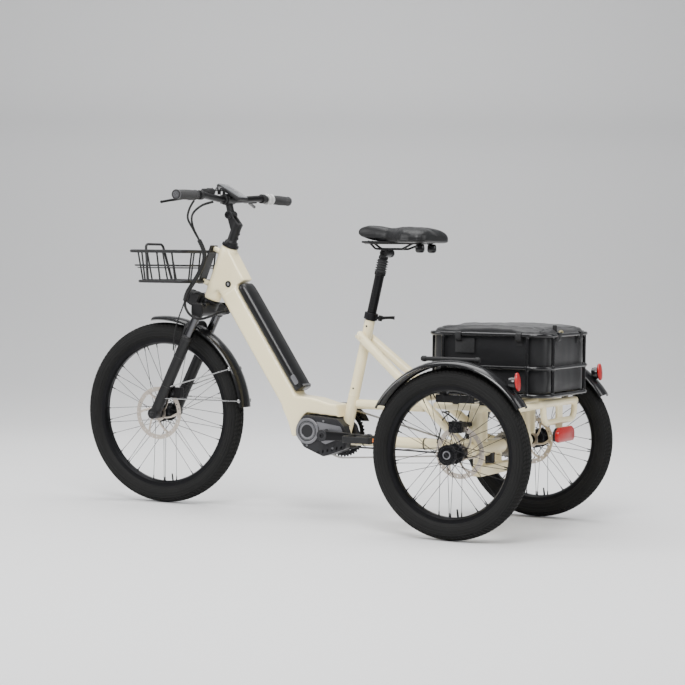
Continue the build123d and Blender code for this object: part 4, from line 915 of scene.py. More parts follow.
for s, name in ((1, "left"), (-1, "right")):
    pivot = V(380, 196 * s, 1044)
    path = smooth_path([pivot + V(2, s * 4, 0), pivot + V(13, s * 18, -3), pivot + V(25, s * 38, -7),
                        pivot + V(36, s * 70, -12), pivot + V(45, s * 101, -17.4)], 7)
    n = len(path) - 1
    shapes = [rounded_rect(10.5 + 1.6 * math.sin(math.pi * min(1, i / n * 1.4)), 8.8 - 0.6 * (i / n), 3, 4)
              for i in range(n + 1)]
    lever = [sweep_shape(path, shapes, up=(0, 0, 1)), solid_lathe([(0, 0), (4, 0.4), (5.2, 3), (4.6, 6.4),
                                                                   (2.6, 8.4), (0, 9)],
                                                                  path[-1] - (path[-1] - path[-2]) * 1.2,
                                                                  path[-1] - path[-2], 24),
             lathe([(2.9, -4.5), (7.4, -4.5), (7.9, -3.9), (7.9, 3.9), (7.4, 4.5), (2.9, 4.5)], pivot,
                   (0, 0, 1), 40)]
    piece(f"lever_blade_{name}", join(*lever), "bar_black", f"brake_lever_{name}", (f"brake_lever_{name}",),
          sharp=34)
# display
run = V(377, 0, 1099) - V(286, 0, 1048)
up = Vector((-run.z, 0, run.x)).normalized()
middle = V(286, 0, 1048) + run / 2 - up * 7 * MM
body_d = [cube((61, 12.6, 104), middle - up * 0.7 * MM, run, LEFT, 5, 4)]
for y in (-29, 29):
    low = Vector((BAR_CENTRE.x, y * MM, BAR_CENTRE.z))
    body_d.append(lathe([(11.2, -3.9), (15, -3.9), (16, -3), (16, 3), (15, 3.9), (11.2, 3.9)], low, LEFT, 40))
    body_d.append(cube((8, 9, 28), low + V(-1, 0, 22), (-0.1, 0, 1), LEFT, 2.4, 1))
piece("display_case", join(*body_d), "matte_black", "handlebar", ("display",), sharp=34)
glass = slab(rounded_rect(56, 94, 7, 6), 1.6, middle + up * 6.1 * MM, up, LEFT, bevel=0.5)
piece("display_screen", glass, "display_grey", "handlebar", sharp=34)
mark = [slab(rounded_rect(30, 26, 2, 3), 0.4, middle + up * 6.9 * MM + run.normalized() * 16 * MM, up, LEFT),
        slab(rounded_rect(30, 12, 2, 3), 0.4, middle + up * 6.9 * MM - run.normalized() * 8 * MM, up, LEFT)]
piece("display_windows", join(*mark), "motor_grey", "handlebar", sharp=34)

# ---- seat ----------------------------------------------------------------------------------------
post = [lathe([(12.1, 262), (15.4, 262), (15.45, 264), (15.45, 522), (18, 523), (18.5, 524), (18.5, 532),
               (18, 533), (12.1, 533)], seat(0), SEAT_UP, 64)]
for k in range(9):
    post.append(lathe([(15.4, 0), (15.52, 0.1), (15.52, 0.5), (15.4, 0.6)], seat(402 + 10 * k), SEAT_UP, 48))
piece("seatpost_tube", join(*post), "bar_black", "seatpost", ("seatpost",), sharp=34)
fold = []
for i in range(121):
    h = 40 * i / 120
    fold.append((17.1 + 2.6 * math.cos(2 * math.pi * h / 8.0 + math.pi), 533.3 + h))
fold = [(19.6, 533.3)] + fold[4:-4] + [(17.6, 573.3), (13.4, 573.3), (13.2, 533.3)]
boot = piece("suspension_boot", lathe(fold, seat(0), SEAT_UP, 64), "grip_rubber", "seatpost", ("boot",),
             sharp=60)
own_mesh(boot)
head = [lathe([(6, 480), (11.9, 480), (11.9, 575), (6, 575)], seat(0), SEAT_UP, 40),
        solid_lathe([(0, 576), (14.6, 576), (15.5, 577), (15.5, 585), (14, 587), (0, 587)], seat(0), SEAT_UP,
                    40), lathe([(4, -16), (12, -16), (13, -15), (13, 15), (12, 16), (4, 16)], seat(598, 10),
                               LEFT, 56), lathe([(3, -21.8), (7.4, -21.8), (7.9, -21), (7.9, 21), (7.4, 21.8),
                                                 (3, 21.8)], seat(598, 10), LEFT, 40),
        bolt(seat(598, 10, 21), LEFT, 5.5, 3.2)]
piece("saddle_clamp_head", join(*head), "bar_black", "seat_head", ("seat_head",), sharp=34)
base = []
for s in (1, -1):
    y = 22 * s
    base.append(sweep(rounded([V(-190, y * 0.55, 905), V(-222, y, 880), V(-318, y, 880),
                               V(-360, y * 1.6, 897)], 18, 8), 3.5, 20))
    base.append(lathe([(8.4, 16.6), (13, 16.6), (14, 17.6), (14, 26), (13, 27), (8.4, 27)], seat(598, 10),
                      LEFT * s, 48))
hull = [(-168, 26), (-205, 38), (-262, 42), (-330, 42), (-385, 42), (-412, 30)]
ring = [(x, h) for x, h in hull] + [(x, -h) for x, h in hull[::-1]]
shell_path = rounded([V(x, y, 0) for x, y in ring], 20, 5, closed=True)
tray = []
for z, k in ((895.5, 0.9), (900, 1.0), (905.4, 1.0)):
    cx = -290
    tray.append([Vector((cx * MM + (p.x - cx * MM) * k, p.y * k, z * MM)) for p in shell_path])
base.append(from_rings(tray))
piece("saddle_rails", join(*base), "bar_black", "saddle", ("saddle_base",), sharp=34)
bump = []
for s in (1, -1):
    bump.append(solid_lathe([(0, 0), (9, 0.3), (13.2, 3), (15, 8), (15, 20), (13.6, 25), (11, 28.6), (0, 29)],
                            V(-392, s * 44, 868), (0, 0, 1), 48))
piece("saddle_bumpers", join(*bump), "gloss_black", "saddle", sharp=40)
hinge = seat(385, 28, -14)
far = hinge + V(-46, -10, 2)
quick = [solid_lathe([(0, -9), (6.4, -9), (7, -8.2), (7, 8.2), (6.4, 9), (0, 9)], hinge, SEAT_UP, 40)]
quick_path = smooth_path([hinge, hinge.lerp(far, 0.35) + V(0, -2, 1), hinge.lerp(far, 0.75) + V(0, -1, 1),
                          far], 6)
quick.append(sweep_shape(quick_path, [rounded_rect(8 - 1.5 * math.sin(math.pi * i / 18),
                                                   12.5 - 3 * math.sin(math.pi * i / 18), 3, 4)
                                      for i in range(len(quick_path))], up=SEAT_UP))
piece("seat_quick_lever", join(*quick), "bar_black", "seat_lever", ("seat_lever",), sharp=34)

# ---- battery -------------------------------------------------------------------------------------
rings = []
outline = rounded_rect(79.4, 34, 11, 7)
for t, k, lift in ((-134, 0.9, 0), (-132.5, 0.965, 0), (-129, 1, 0), (-60, 1, 0), (40, 1, 0), (150, 1, 0),
                   (235, 1, 0), (262, 0.985, -1), (273, 0.94, -2.5), (278.4, 0.84, -5)):
    ring = []
    for a, b in outline:
        crest = 1.0 if b > 0 else 0.0
        shape = b - crest * (abs(a) / 39.7) ** 2.4 * 7.5
        ring.append(tube_at(t, 87.75 + (shape * (k if lift else 1)) + lift * crest * 0.8, a * k))
    rings.append(ring)
piece("battery_case", from_rings(rings), "battery_black", "battery", ("battery",), sharp=46)
latch = [slab(rounded_rect(16, 34, 5, 5), 2, tube_at(-100, 93, 40.0), LEFT, TUBE_OUT, bevel=0.5),
         slab(rounded_rect(52, 6, 2.5, 3), 2.4, tube_at(-128, 104.2, 0), TUBE_OUT, LEFT, bevel=0.6)]
piece("battery_latch", join(*latch), "motor_grey", "battery", sharp=34)
KEY_AT = tube_at(306, 47, 31.2)
key = lathe([(5, 0), (10, 0), (11, 0.8), (11, 3), (10, 3.8), (6, 3.8), (5, 3)], KEY_AT, LEFT, 56)
piece("key_ring", key, "matte_black", "frame", sharp=34)
core = solid_lathe([(0, 0), (5.2, 0), (5.2, 2.6), (1, 3.1), (0, 2)], KEY_AT, LEFT, 40)
piece("key_core", core, "bright_steel", "frame", sharp=34)

# ---- soft goods ----------------------------------------------------------------------------------
def puffed(mesh, voxel, pressure, cap, pin=None, frames=18):
    """Swells a closed form with cloth pressure and limits how far each point may move."""
    obj = bpy.data.objects.new("soft", mesh)
    scene = bpy.context.scene
    scene.collection.objects.link(obj)
    mod = obj.modifiers.new("voxels", "REMESH")
    mod.mode = "VOXEL"
    mod.voxel_size = voxel * MM
    dense = bpy.data.meshes.new_from_object(obj.evaluated_get(bpy.context.evaluated_depsgraph_get()))
    obj.modifiers.clear()
    obj.data = dense
    start = [v.co.copy() for v in dense.vertices]
    held = obj.vertex_groups.new(name="held")
    for v in dense.vertices:
        weight = pin(v.co) if pin else 0.0
        if weight:
            held.add([v.index], weight, "REPLACE")
    cloth = obj.modifiers.new("cloth", "CLOTH")
    cloth.settings.quality = 5
    cloth.settings.mass = 0.3
    cloth.settings.tension_stiffness = 12
    cloth.settings.compression_stiffness = 12
    cloth.settings.bending_stiffness = 1.2
    cloth.settings.use_pressure = True
    cloth.settings.uniform_pressure_force = pressure
    cloth.settings.vertex_group_mass = "held"
    cloth.settings.effector_weights.gravity = 0
    cloth.collision_settings.use_collision = False
    cloth.point_cache.frame_start = 1
    cloth.point_cache.frame_end = frames
    for f in range(1, frames + 1):
        scene.frame_set(f)
    shown = obj.evaluated_get(bpy.context.evaluated_depsgraph_get())
    ends = [v.co.copy() for v in shown.data.vertices]
    scene.frame_set(1)
    bpy.data.objects.remove(obj)
    for v, a, b in zip(dense.vertices, start, ends):
        move = b - a
        far = cap * MM
        if move.length > far:
            move = move.normalized() * far
        v.co = a + move
    return dense


def shaped(name, mesh, mat, body, replaces, reshape=None, relax=0):
    """A soft piece: subdivided once, then reshaped point by point for seams and folds."""
    if relax:
        work = bmesh.new()
        work.from_mesh(mesh)
        for _ in range(relax):
            bmesh.ops.smooth_vert(work, verts=work.verts, factor=0.5, use_axis_x=True, use_axis_y=True,
                                  use_axis_z=True)
        work.to_mesh(mesh)
        work.free()
    obj = bpy.data.objects.new("soft", mesh)
    bpy.context.scene.collection.objects.link(obj)
    mod = obj.modifiers.new("sub", "SUBSURF")
    mod.levels = mod.render_levels = 1
    fine = bpy.data.meshes.new_from_object(obj.evaluated_get(bpy.context.evaluated_depsgraph_get()))
    bpy.data.objects.remove(obj)
    if reshape:
        for v in fine.vertices:
            v.co = reshape(v.co)
    return piece(name, fine, mat, body, replaces, sharp=75)


# saddle: nose, waist and wide tail, dished and sewn
SADDLE = ((-150, 9, 938, 930), (-152, 15, 944, 925), (-162, 20, 950, 919), (-190, 25, 957, 912),
          (-225, 30, 953, 908), (-262, 38, 946, 906), (-298, 64, 947, 902), (-322, 86, 950, 899),
          (-352, 106, 951, 899), (-384, 113, 949, 899), (-410, 109, 945, 899), (-424, 99, 940, 899),
          (-431, 86, 933, 901), (-433, 70, 924, 906))
rings = []
for x, half, top, floor_z in SADDLE:
    ring = []
    n = 40
    for k in range(n):
        a = 2 * math.pi * k / n
        c, s = math.cos(a), math.sin(a)
        y = half * math.copysign(abs(c) ** 0.72, c)
        if s >= 0:
            u = abs(y) / half
            z = floor_z + 5 + (top - floor_z - 5) * (s ** 0.6)
            if half > 60:
                z -= 3.2 * max(0, 1 - (abs(y) / (half * 0.4)) ** 2) * (s ** 0.6)
        else:
            z = floor_z + 5 - 4.6 * (abs(s) ** 0.7)
        ring.append(V(x, y, z))
    rings.append(ring)
pad = puffed(from_rings(rings), 4.5, 4.0, 3.0, lambda p: 1.0 if p.z < 0.9035 else 0.0, 14)


def saddle_shape(p):
    x, y, z = p.x / MM, p.y / MM, p.z / MM
    if z > 930:
        groove = max(0.0, 1 - (y / 9) ** 2) * max(0.0, min(1.0, (-175 - x) / 30)) * max(0.0,
                                                                                        min(1.0,
                                                                                            (x + 418) / 30))
        z -= 3.4 * groove
    if abs(y) > 1:
        y -= math.copysign(1.1 * math.exp(-((z - 912) / 1.3) ** 2), y)
    line = -338 + 0.0024 * y * y
    z -= 1.2 * math.exp(-((x - line) / 1.6) ** 2) if z > 925 else 0
    return V(min(-149.8, max(-433.2, x)), y, max(898.6, min(958, z)))


saddle_pad = shaped("saddle_cushion", pad, "saddle_vinyl", "saddle", ("saddle_pad",), saddle_shape, 2)


# cargo bag: an open-topped liner of coated cloth in the wire basket, bulging between the bars
def ring_at(cx, hx, hy, corner, z):
    """Points round a level rectangle with round corners."""
    return rounded([V(cx + hx, hy, z), V(cx - hx, hy, z), V(cx - hx, -hy, z), V(cx + hx, -hy, z)], corner, 10,
                   closed=True)


def resample(path, count):
    """The closed path with evenly spaced points."""
    lengths = [0.0]
    for a, b in zip(path, path[1:] + path[:1]):
        lengths.append(lengths[-1] + (b - a).length)
    out, i = [], 0
    for k in range(count):
        want = lengths[-1] * k / count
        while lengths[i + 1] < want:
            i += 1
        a, b = path[i], path[(i + 1) % len(path)]
        t = (want - lengths[i]) / max(1e-9, lengths[i + 1] - lengths[i])
        out.append(a.lerp(b, t))
    return out


BAG_X, BAG_HX, BAG_HY = -687.5, 191.5, 181.0


def bag_ring(z, inset, count=220):
    ring = []
    base_ring = resample(ring_at(BAG_X, BAG_HX - inset, BAG_HY - inset, 50 - inset, z), count)
    for i, p in enumerate(base_ring):
        way = Vector((p.x - BAG_X * MM, p.y, 0))
        way.normalize()
        t = (z - 444) / 178
        belly = 0.0
        for lo, hi in ((0.0, 0.43), (0.43, 0.97)):
            if lo <= t <= hi:
                belly = math.sin(math.pi * (t - lo) / (hi - lo))
        wave = noise.noise(Vector((p.x * 9, p.y * 9, z * 0.011))) * 2.4
        fold = noise.noise(Vector((p.x * 26, p.y * 26, z * 0.004 + 7))) * 1.3
        ring.append(p + way * (belly * 2.2 + (wave + fold) * min(1, belly + 0.25) - 2.0) * MM)
    return ring


outer = [bag_ring(444 + 178 * i / 44, 0.8) for i in range(45)]
inner = [bag_ring(448 + 174 * i / 40, 3.4) for i in range(40, -1, -1)]
floor_in = [[V(BAG_X, 0, 449) + (p - V(BAG_X, 0, 448)) * k for p in inner[-1]] for k in (0.6, 0.2, 0.02)]
floor_out = [[V(BAG_X, 0, 444) + (p - V(BAG_X, 0, 444)) * k for p in outer[0]]
             for k in (0.02, 0.3, 0.7, 0.96)]
bag = from_rings(floor_out + outer + inner + floor_in)
bag_piece = piece("cargo_liner", bag, "bag_vinyl", "frame", ("cargo_bag",), sharp=80, subsurf=1)
# lid: a padded, zipped flap that bulges over the load
lid_rings = []
for z, k in ((623.2, 0.0), (624.4, -1.0), (629, -2.0), (634, -5.0), (638, -13), (640.5, -26), (641.8, -48),
             (642.6, -80), (643.2, -120), (643.6, -160)):
    hx, hy = BAG_HX + k, BAG_HY + k
    lid_rings.append(resample(ring_at(BAG_X, hx, hy, max(8, 50 + k), z), 96))
lid_bottom = [resample(ring_at(BAG_X, BAG_HX - e, BAG_HY - e, max(8, 50 - e), 623.0), 96)
              for e in (150, 60, 6)]
lid_mesh = puffed(from_rings(lid_bottom + lid_rings), 5.0, 3.0, 4.0, lambda p: 1.0 if p.z < 0.6255 else 0.0,
                  14)


def lid_shape(p):
    x, y, z = p.x / MM, p.y / MM, p.z / MM
    if z > 626:
        n1 = noise.noise(Vector((x * 0.008, y * 0.008, 3.1)))
        n2 = noise.noise(Vector((x * 0.021, y * 0.021, 8.7)))
        n3 = noise.noise(Vector((x * 0.05, y * 0.012, 1.7)))
        edge = min(1.0, max(0.0, (z - 626) / 8))
        z += (n1 * 5.2 + n2 * 2.4 + n3 * 1.3 + 1.0) * edge
        edge_x, edge_y = BAG_HX - abs(x - BAG_X), BAG_HY - abs(y)
        seam = math.exp(-((min(edge_x, edge_y) - 19) / 2.0) ** 2)
        z -= 1.9 * seam
    z = max(622.8, z)
    return V(x, y, z)


lid_piece = shaped("cargo_lid_pad", lid_mesh, "bag_vinyl", "bag_lid", ("bag_lid",), lid_shape, 2)
# piping, zip and pull round the lid's edge
edge_path = resample(ring_at(BAG_X, BAG_HX - 0.4, BAG_HY - 0.4, 50, 625.5), 160)
edge_path = [p + V(0, 0, 0.7 * math.sin(i * 0.47)) for i, p in enumerate(edge_path)]
# the front edge turns in place about the lid's hinge, clear of the basket's rim
edge_path = [p + V(-2.6, 0, -2.0) * min(1.0, max(0.0, (p.x / MM + 524) / 24)) for p in edge_path]
piping = sweep(edge_path, 2.2, 10, closed=True)
piece("lid_piping", piping, "bag_vinyl", "bag_lid", sharp=60)
teeth = []
TEETH = 520
zip_path = resample(ring_at(BAG_X, BAG_HX - 0.2, BAG_HY - 0.2, 50, 619.4), TEETH)
for i, p in enumerate(zip_path):
    ahead = (zip_path[(i + 1) % TEETH] - p).normalized()
    out = ahead.cross(Vector((0, 0, 1)))
    if out.dot(Vector((p.x - BAG_X * MM, p.y, 0))) < 0:
        out = -out
    teeth.append(cube((1.5, 3.2, 1.3), p + out * 0.2 * MM + V(0, 0, 0.4 * (i % 2)), out, ahead, 0.5, 0.3))
piece("bag_zip_teeth", join(*teeth), "matte_black", "frame", sharp=40)
tape = from_rings([[p + V(0, 0, z) + Vector((p.x - BAG_X * MM, p.y, 0)).normalized() * o * MM for z,
                    o in ((-6.5, 0.6), (-6.5, 1.0), (1.6, 1.0), (1.6, 0.6))]
                   for p in resample(ring_at(BAG_X, BAG_HX - 1.0, BAG_HY - 1.0, 50, 619.0), 160)],
                  closed_path=True)
piece("bag_zip_tape", tape, "label_grey", "frame", sharp=40)
pull_at = V(-879.6, 40, 628)
pull = [cube((8, 9, 6), pull_at, (0, 0, 1), LEFT, 2, 1),
        slab(rounded_rect(5.4, 30, 2.4, 4), 2.0, pull_at + V(-1.5, 15, 3), (-0.5, 0.1, 1), (0.9, 0.1, 0.2),
             [circle(1.5, 0, 11, 12)], bevel=0.5)]
piece("zip_pull", join(*pull), "zip_metal", "bag_lid", sharp=40)
# webbing loops over the basket's rim and a sewn label
straps = []
for x, s in ((-800, 1), (-600, 1), (-800, -1), (-600, -1)):
    loop = [V(x, s * a, z) for a, z in ((182.6, 588), (184, 606), (185.5, 621), (190, 627.6), (196.6, 625),
                                        (197.8, 617), (196.4, 606), (190, 600), (184.6, 596))]
    path = smooth_path(loop, 6)
    straps.append(sweep_shape(path, [rounded_rect(19, 1.5, 0.6, 2) for _ in path], up=(0, s, 0.4)))
for y in (-90, 90):
    for x, s in ((-888, -1), (-487, 1)):
        inner_x = x - s * 8
        loop = [V(inner_x, y, 590), V(inner_x + s * 1.5, y, 606), V(inner_x + s * 3.5, y, 621),
                V(x, y, 627.6), V(x + s * 6.4, y, 625), V(x + s * 7.2, y, 617), V(x + s * 5.6, y, 606),
                V(x - s, y, 600)]
        path = smooth_path(loop, 6)
        if s < 0:
            path = [Vector((max(p.x, -0.8945), p.y, p.z)) for p in path]
        straps.append(sweep_shape(path, [rounded_rect(1.5, 19, 0.6, 2) for _ in path], up=(0, 1, 0)))
piece("bag_strap_loops", join(*straps), "label_grey", "frame", sharp=50)
piece("bag_label_patch", slab(rounded_rect(64, 46, 3, 4), 1.2, V(-618, 184.6, 585), LEFT, (1, 0, 0),
                              bevel=0.4), "label_grey", "frame", sharp=40)
piece("lid_pull_tab", slab(rounded_rect(13, 26, 2, 3), 1.6, V(-868, 70, 636), LEFT, (1, 0, 0), bevel=0.5),
      "label_grey", "bag_lid", sharp=40)

# ---- baskets -------------------------------------------------------------------------------------
wires = casting("cargo_basket", 1.9, 2, 0.4)
piece("cargo_basket_wires", wires, "gloss_black", "frame", ("cargo_basket",), sharp=60)
front_wires = casting("front_basket", 1.25, 2, 0.35)
piece("front_basket_wires", front_wires, "wire_black", "frame", ("front_basket",), sharp=60)
# the low rail inside the front basket, and the four bolts of its plate
RAIL_BACK, RAIL_FRONT, RAIL_HALF, RAIL_Z = 439.9, 625.1, 151.8, 810
rail = [V(RAIL_BACK, -RAIL_HALF, RAIL_Z), V(RAIL_BACK, RAIL_HALF, RAIL_Z), V(RAIL_FRONT, RAIL_HALF, RAIL_Z),
        V(RAIL_FRONT, -RAIL_HALF, RAIL_Z)]
extra = [sweep(rounded(rail, 28, 8, closed=True), 1.7, 10, closed=True)]
for s in (1, -1):
    extra.append(bolt(steer(40, 63, s * 12), STEER_FRONT, 5, 3.6))
    extra.append(bolt(steer(136, 63, s * 12), STEER_FRONT, 5, 3.6))
piece("front_basket_thin_rails", join(*extra), "wire_black", "frame", sharp=40)


# ---- rear fenders and lights ---------------------------------------------------------------------
fenders = []
for s in (1, -1):
    hub_at = V(-648, s * 341, 261)
    fenders.append(fender_strip(hub_at, 273.4, 28.8, 147.3, 36, 0, 12.2, lip=4, wall=2.2))
piece("rear_fender_shells", join(*fenders), "gloss_black", "frame", ("rear_fenders",), sharp=45)
domes, reds = [], []
for s in (1, -1):
    hub_at = V(-648, s * 341, 261)
    way = Vector((-1, 0, 0.1)).normalized()
    spot = hub_at + V(-203, 0, 222)
    domes.append(solid_lathe([(0, -12), (19, -12), (19.6, -4), (18, 3), (16.5, 6.5), (0, 7)], spot, way, 48))
    rim_ring = [(a, b * 15 / 26) for a, b in circle(26, steps=48)]
    back = hub_at + V(-210.5, 0, 226.5)
    reds.append(slab([(a * 0.97, b * 0.97) for a, b in rim_ring], 6.4, back + way * 4 * MM, way, (0.1, 0, 1),
                     bevel=2.4))
    domes.append(slab(rim_ring, 3.4, back + way * 1.4 * MM, way, (0.1, 0, 1), bevel=1.2))
piece("rear_reflector_cups", join(*domes), "gloss_black", "frame", sharp=40)
outline = rounded([Vector((-65, -19.5, 0)), Vector((65, -19.5, 0)), Vector((65, 8, 0)), Vector((46, 19.5, 0)),
                   Vector((-46, 19.5, 0)), Vector((-65, 8, 0))], 14 / MM, 6, closed=True)
lens_flat = [(p.x, p.y) for p in outline]
tail = slab(lens_flat, 13, V(-878.8, 0, 310), (-1, 0, 0), (0, -1, 0), bevel=4)
piece("tail_light_lens", join(tail, *reds), "red_lens", "frame", ("rear_lights",), sharp=40)
case = slab(lens_flat, 9, V(-868.4, 0, 310), (-1, 0, 0), (0, -1, 0), bevel=1.5)
piece("tail_light_case", case, "matte_black", "frame", sharp=40)
brackets = casting("fender_brackets", 1.6, 2, 0.4)
piece("fender_bracket_bars", brackets, "matte_black", "frame", ("fender_brackets",), sharp=60)
small = []
for s in (1, -1):
    for x in (-600, -690):
        small.append(bolt(V(x, s * 299.6, 430), (0, s, 0), 4.6, 3.4))
        small.append(bolt(V(x, s * 299.6, 470), (0, s, 0), 4.6, 3.4))
        small.append(bolt(V(x, s * 206.6, 424), (0, 0, 1), 4.6, 3.2))
piece("bracket_bolts", join(*small), "bright_steel", "frame", sharp=34)
knobs = []
for s in (1, -1):
    for x, d in ((-533, 1), (-712, -1)):
        knobs.append(solid_lathe([(0, -9), (6.6, -8.6), (9, -6), (9, 4), (7.6, 7), (4, 8.6), (0, 9)],
                                 V(x, s * 297, 545), (d, 0, 0), 32))
piece("bracket_bar_knobs", join(*knobs), "matte_black", "frame", sharp=50)
cal = [casting("rear_calipers", 1.6, 3, 0.5)]
for s in (1, -1):
    for dx in (-13, 13):
        cal.append(bolt(V(-638 + dx, s * 293, 343), (0, s, 0), 4.4, 4))
        cal.append(bolt(V(-638 + dx, s * 279, 356), (0, 0, 1), 3.6, 3))
    cal.append(solid_lathe([(0, 0), (8, 0), (9, 1), (9, 3), (7, 4), (0, 4)], V(-638, s * 293, 330), (0, s, 0),
                           40))
piece("rear_caliper_bodies", join(*cal), "crank_black", "frame", ("rear_calipers",), sharp=40)

# ---- drive ---------------------------------------------------------------------------------------
MOTOR = [(50, 266), (40, 308), (17, 333), (-105, 324), (-132, 300), (-146, 262), (-136, 226), (-55, 198),
         (17, 225)]


def scaled(points, k, about=(-50, 268)):
    return [(about[0] + (x - about[0]) * k, about[1] + (z - about[1]) * k) for x, z in points]


piece("motor_housing", casting("drive_unit", 1.9, 5, 0.5), "motor_black", "frame", ("drive_unit",),
      sharp=60)
SPINDLE = V(-71, 0, 271)
covers = [side_plate(soft_outline(scaled(MOTOR, 0.93), 16), 59.2, 3.0, [circle(16, -71, 271, 40)], 0.9),
          lathe([(12, 0), (20, 0), (21, 1), (21, 3.4), (19, 4.6), (13, 4.6), (12, 3.6)],
                SPINDLE + LEFT * 57.8 * MM, LEFT, 64)]
piece("motor_side_cover", join(*covers), "motor_black", "frame", sharp=34)
rings_m = [lathe([(29, 0), (42.4, 0), (42.8, 1), (42.8, 3.2), (41.4, 4.6), (36, 5.2), (33.5, 3.6),
                  (30.5, 3.6), (29, 4.4)], V(1, 62.4, 280), LEFT, 96),
           solid_lathe([(0, 0), (29, 0), (28.4, 3.4), (22, 4.4), (20.6, 3.4), (0, 3.4)], V(1, 62.4, 280),
                       LEFT, 80)]
for k in range(5):
    t = 2 * math.pi * k / 5 + 0.4
    rings_m.append(bolt(V(-50 + 81.9 * math.cos(t), 60.4, 268 + 47 * math.sin(t)), LEFT, 3.6, 2.4))
piece("motor_round_cap", join(*rings_m), "motor_grey", "frame", sharp=34)
band = side_plate(soft_outline([(-128, 286), (-120, 300), (-30, 312), (-26, 300), (-52, 246), (-66, 240),
                                (-122, 262)], 8), 61.6, 1.4, bevel=0.5)
patch = side_plate(soft_outline([(-118, 280), (-114, 290), (-74, 295), (-76, 285)], 2.5), 62.7, 0.8,
                   bevel=0.2)
piece("motor_badge_band", join(band, patch), "motor_grey", "frame", sharp=34)
ribs = []
for k in range(6):
    x = -128 + 17 * k
    ribs.append(side_plate(soft_outline([(x, 236 - 4 * k), (x + 6, 235 - 4 * k), (x + 8, 226 - 4 * k),
                                         (x + 2, 227 - 4 * k)], 1.5), 59, 3.4, bevel=0.5))
piece("motor_ribs", join(*ribs), "motor_black", "frame", sharp=34)
CHAIN_PITCH = 12.7


def toothed(radii, teeth_count):
    """A sprocket's outline: the radii repeat once for each tooth."""
    steps = teeth_count * len(radii)
    out = []
    for i in range(steps):
        a = 2 * math.pi * i / steps
        r = radii[i % len(radii)]
        out.append((r * math.cos(a), r * math.sin(a)))
    return out


# crankset
crank = []
for s, reach in ((1, -1), (-1, 1)):
    y = s * 92
    far_x = -71 + reach * (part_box("crankset")[1].x / MM + 71 - 14)
    steps = 26
    rings = []
    for i in range(steps + 1):
        t = i / steps
        x = -71 + (far_x + 71) * t
        half = 16.5 * (1 - t) ** 1.5 + 11.2 * (1 - (1 - t) ** 1.5)
        thick = 13.2 - 2.5 * math.sin(math.pi * t)
        inset_y = 2.2 * math.sin(math.pi * t)
        rings.append([Vector((x * MM, (y + b - s * inset_y * 0.3) * MM, (271 + a) * MM))
                      for a, b in rounded_rect(2 * half, thick, 4.6, 5)])
    crank.append(from_rings(rings))
    crank.append(lathe([(9, -6.8), (17.6, -6.8), (18.8, -5.6), (18.8, 5.6), (17.6, 6.8), (9, 6.8)],
                       V(-71, y, 271), LEFT, 56))
    crank.append(solid_lathe([(0, -6.9), (12.6, -6.9), (13.8, -5.8), (13.8, 5.8), (12.6, 6.9), (0, 6.9)],
                             V(far_x, y, 271), LEFT, 48))
    crank.append(bolt(V(-71, y + s * 3, 271), LEFT * s, 9.2, 3.8, 32))
    crank.append(rod(V(far_x, y, 271), V(far_x, s * 185.6, 271), 5.8))
    crank.append(rod(V(-71, s * 40, 271), V(-71, y, 271), 9.8))
crank.append(slab(toothed((81.0, 80.4, 76.2, 76.2), 42), 3, V(-71, -52, 271), LEFT, (1, 0, 0),
                  [circle(64, steps=72)], 0.4))
for k in range(5):
    a = 2 * math.pi * (k + 0.5) / 5
    way = Vector((math.cos(a), 0, math.sin(a)))
    path = [V(-71, -50, 271) + way * r * MM for r in (16, 34, 52, 68)]
    crank.append(sweep_shape(path, [rounded_rect(w, 4.4, 1.4, 3) for w in (20, 13, 11, 14)], up=LEFT))
    crank.append(bolt(V(-71, -53.6, 271) + way * 66 * MM, -LEFT, 5, 1.8, 20))
crank.append(solid_lathe([(0, -54.8), (20, -54.8), (22, -53), (22, -45), (20, -44.2), (0, -44.2)],
                         V(-71, 0, 271), LEFT, 56))
piece("crank_arms_ring", join(*crank), "crank_black", "crank", ("crankset",), sharp=34)
for name in ("left", "right"):
    low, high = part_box(f"pedal_{name}")
    cx, cz = (low.x + high.x) / 2 / MM, (low.z + high.z) / 2 / MM
    hx, hy, hz = (high.x - low.x) / 2 / MM, (high.y - low.y) / 2 / MM, (high.z - low.z) / 2 / MM
    cy = (low.y + high.y) / 2 / MM
    ped = []
    for sx in (1, -1):
        ped.append(cube((9, 2 * hz - 1, 2 * hy - 6), V(cx + sx * (hx - 4.8), cy, cz), LEFT, (1, 0, 0), 3, 2))
        for k in range(9):
            for sz in (1, -1):
                ped.append(cube((6.6, 3.4, 2.4), V(cx + sx * (hx - 4.8), cy - hy + 9 + k * (2 * hy - 18) / 8,
                                                   cz + sz * (hz - 1.6)), (0, 0, sz), (1, 0, 0), 1, 0.5))
    for sy in (1, -1):
        ped.append(cube((2 * hx - 8, 2 * hz - 3, 7), V(cx, cy + sy * (hy - 4), cz), LEFT, (1, 0, 0), 3, 1.6))
    ped.append(lathe([(6.4, -hy + 2), (10.6, -hy + 2), (11.4, -hy + 4), (11.4, hy - 4), (10.6, hy - 2),
                      (6.4, hy - 2)], V(cx, cy, cz), LEFT, 40))
    for sx in (1, -1):
        ped.append(cube((hx - 12, 5, 9), V(cx + sx * (hx / 2 + 3), cy, cz), LEFT, (1, 0, 0), 2, 1))
    piece(f"pedal_cage_{name}", join(*ped), "matte_black", f"pedal_{name}", (f"pedal_{name}",), sharp=34)
    lens = []
    for sx in (1, -1):
        lens.append(cube((2.4, 13, 42), V(cx + sx * (hx - 1.3), cy, cz), LEFT, (1, 0, 0), 1, 0.7))
    piece(f"pedal_reflector_{name}", join(*lens), "orange_lens", f"pedal_{name}", sharp=34)
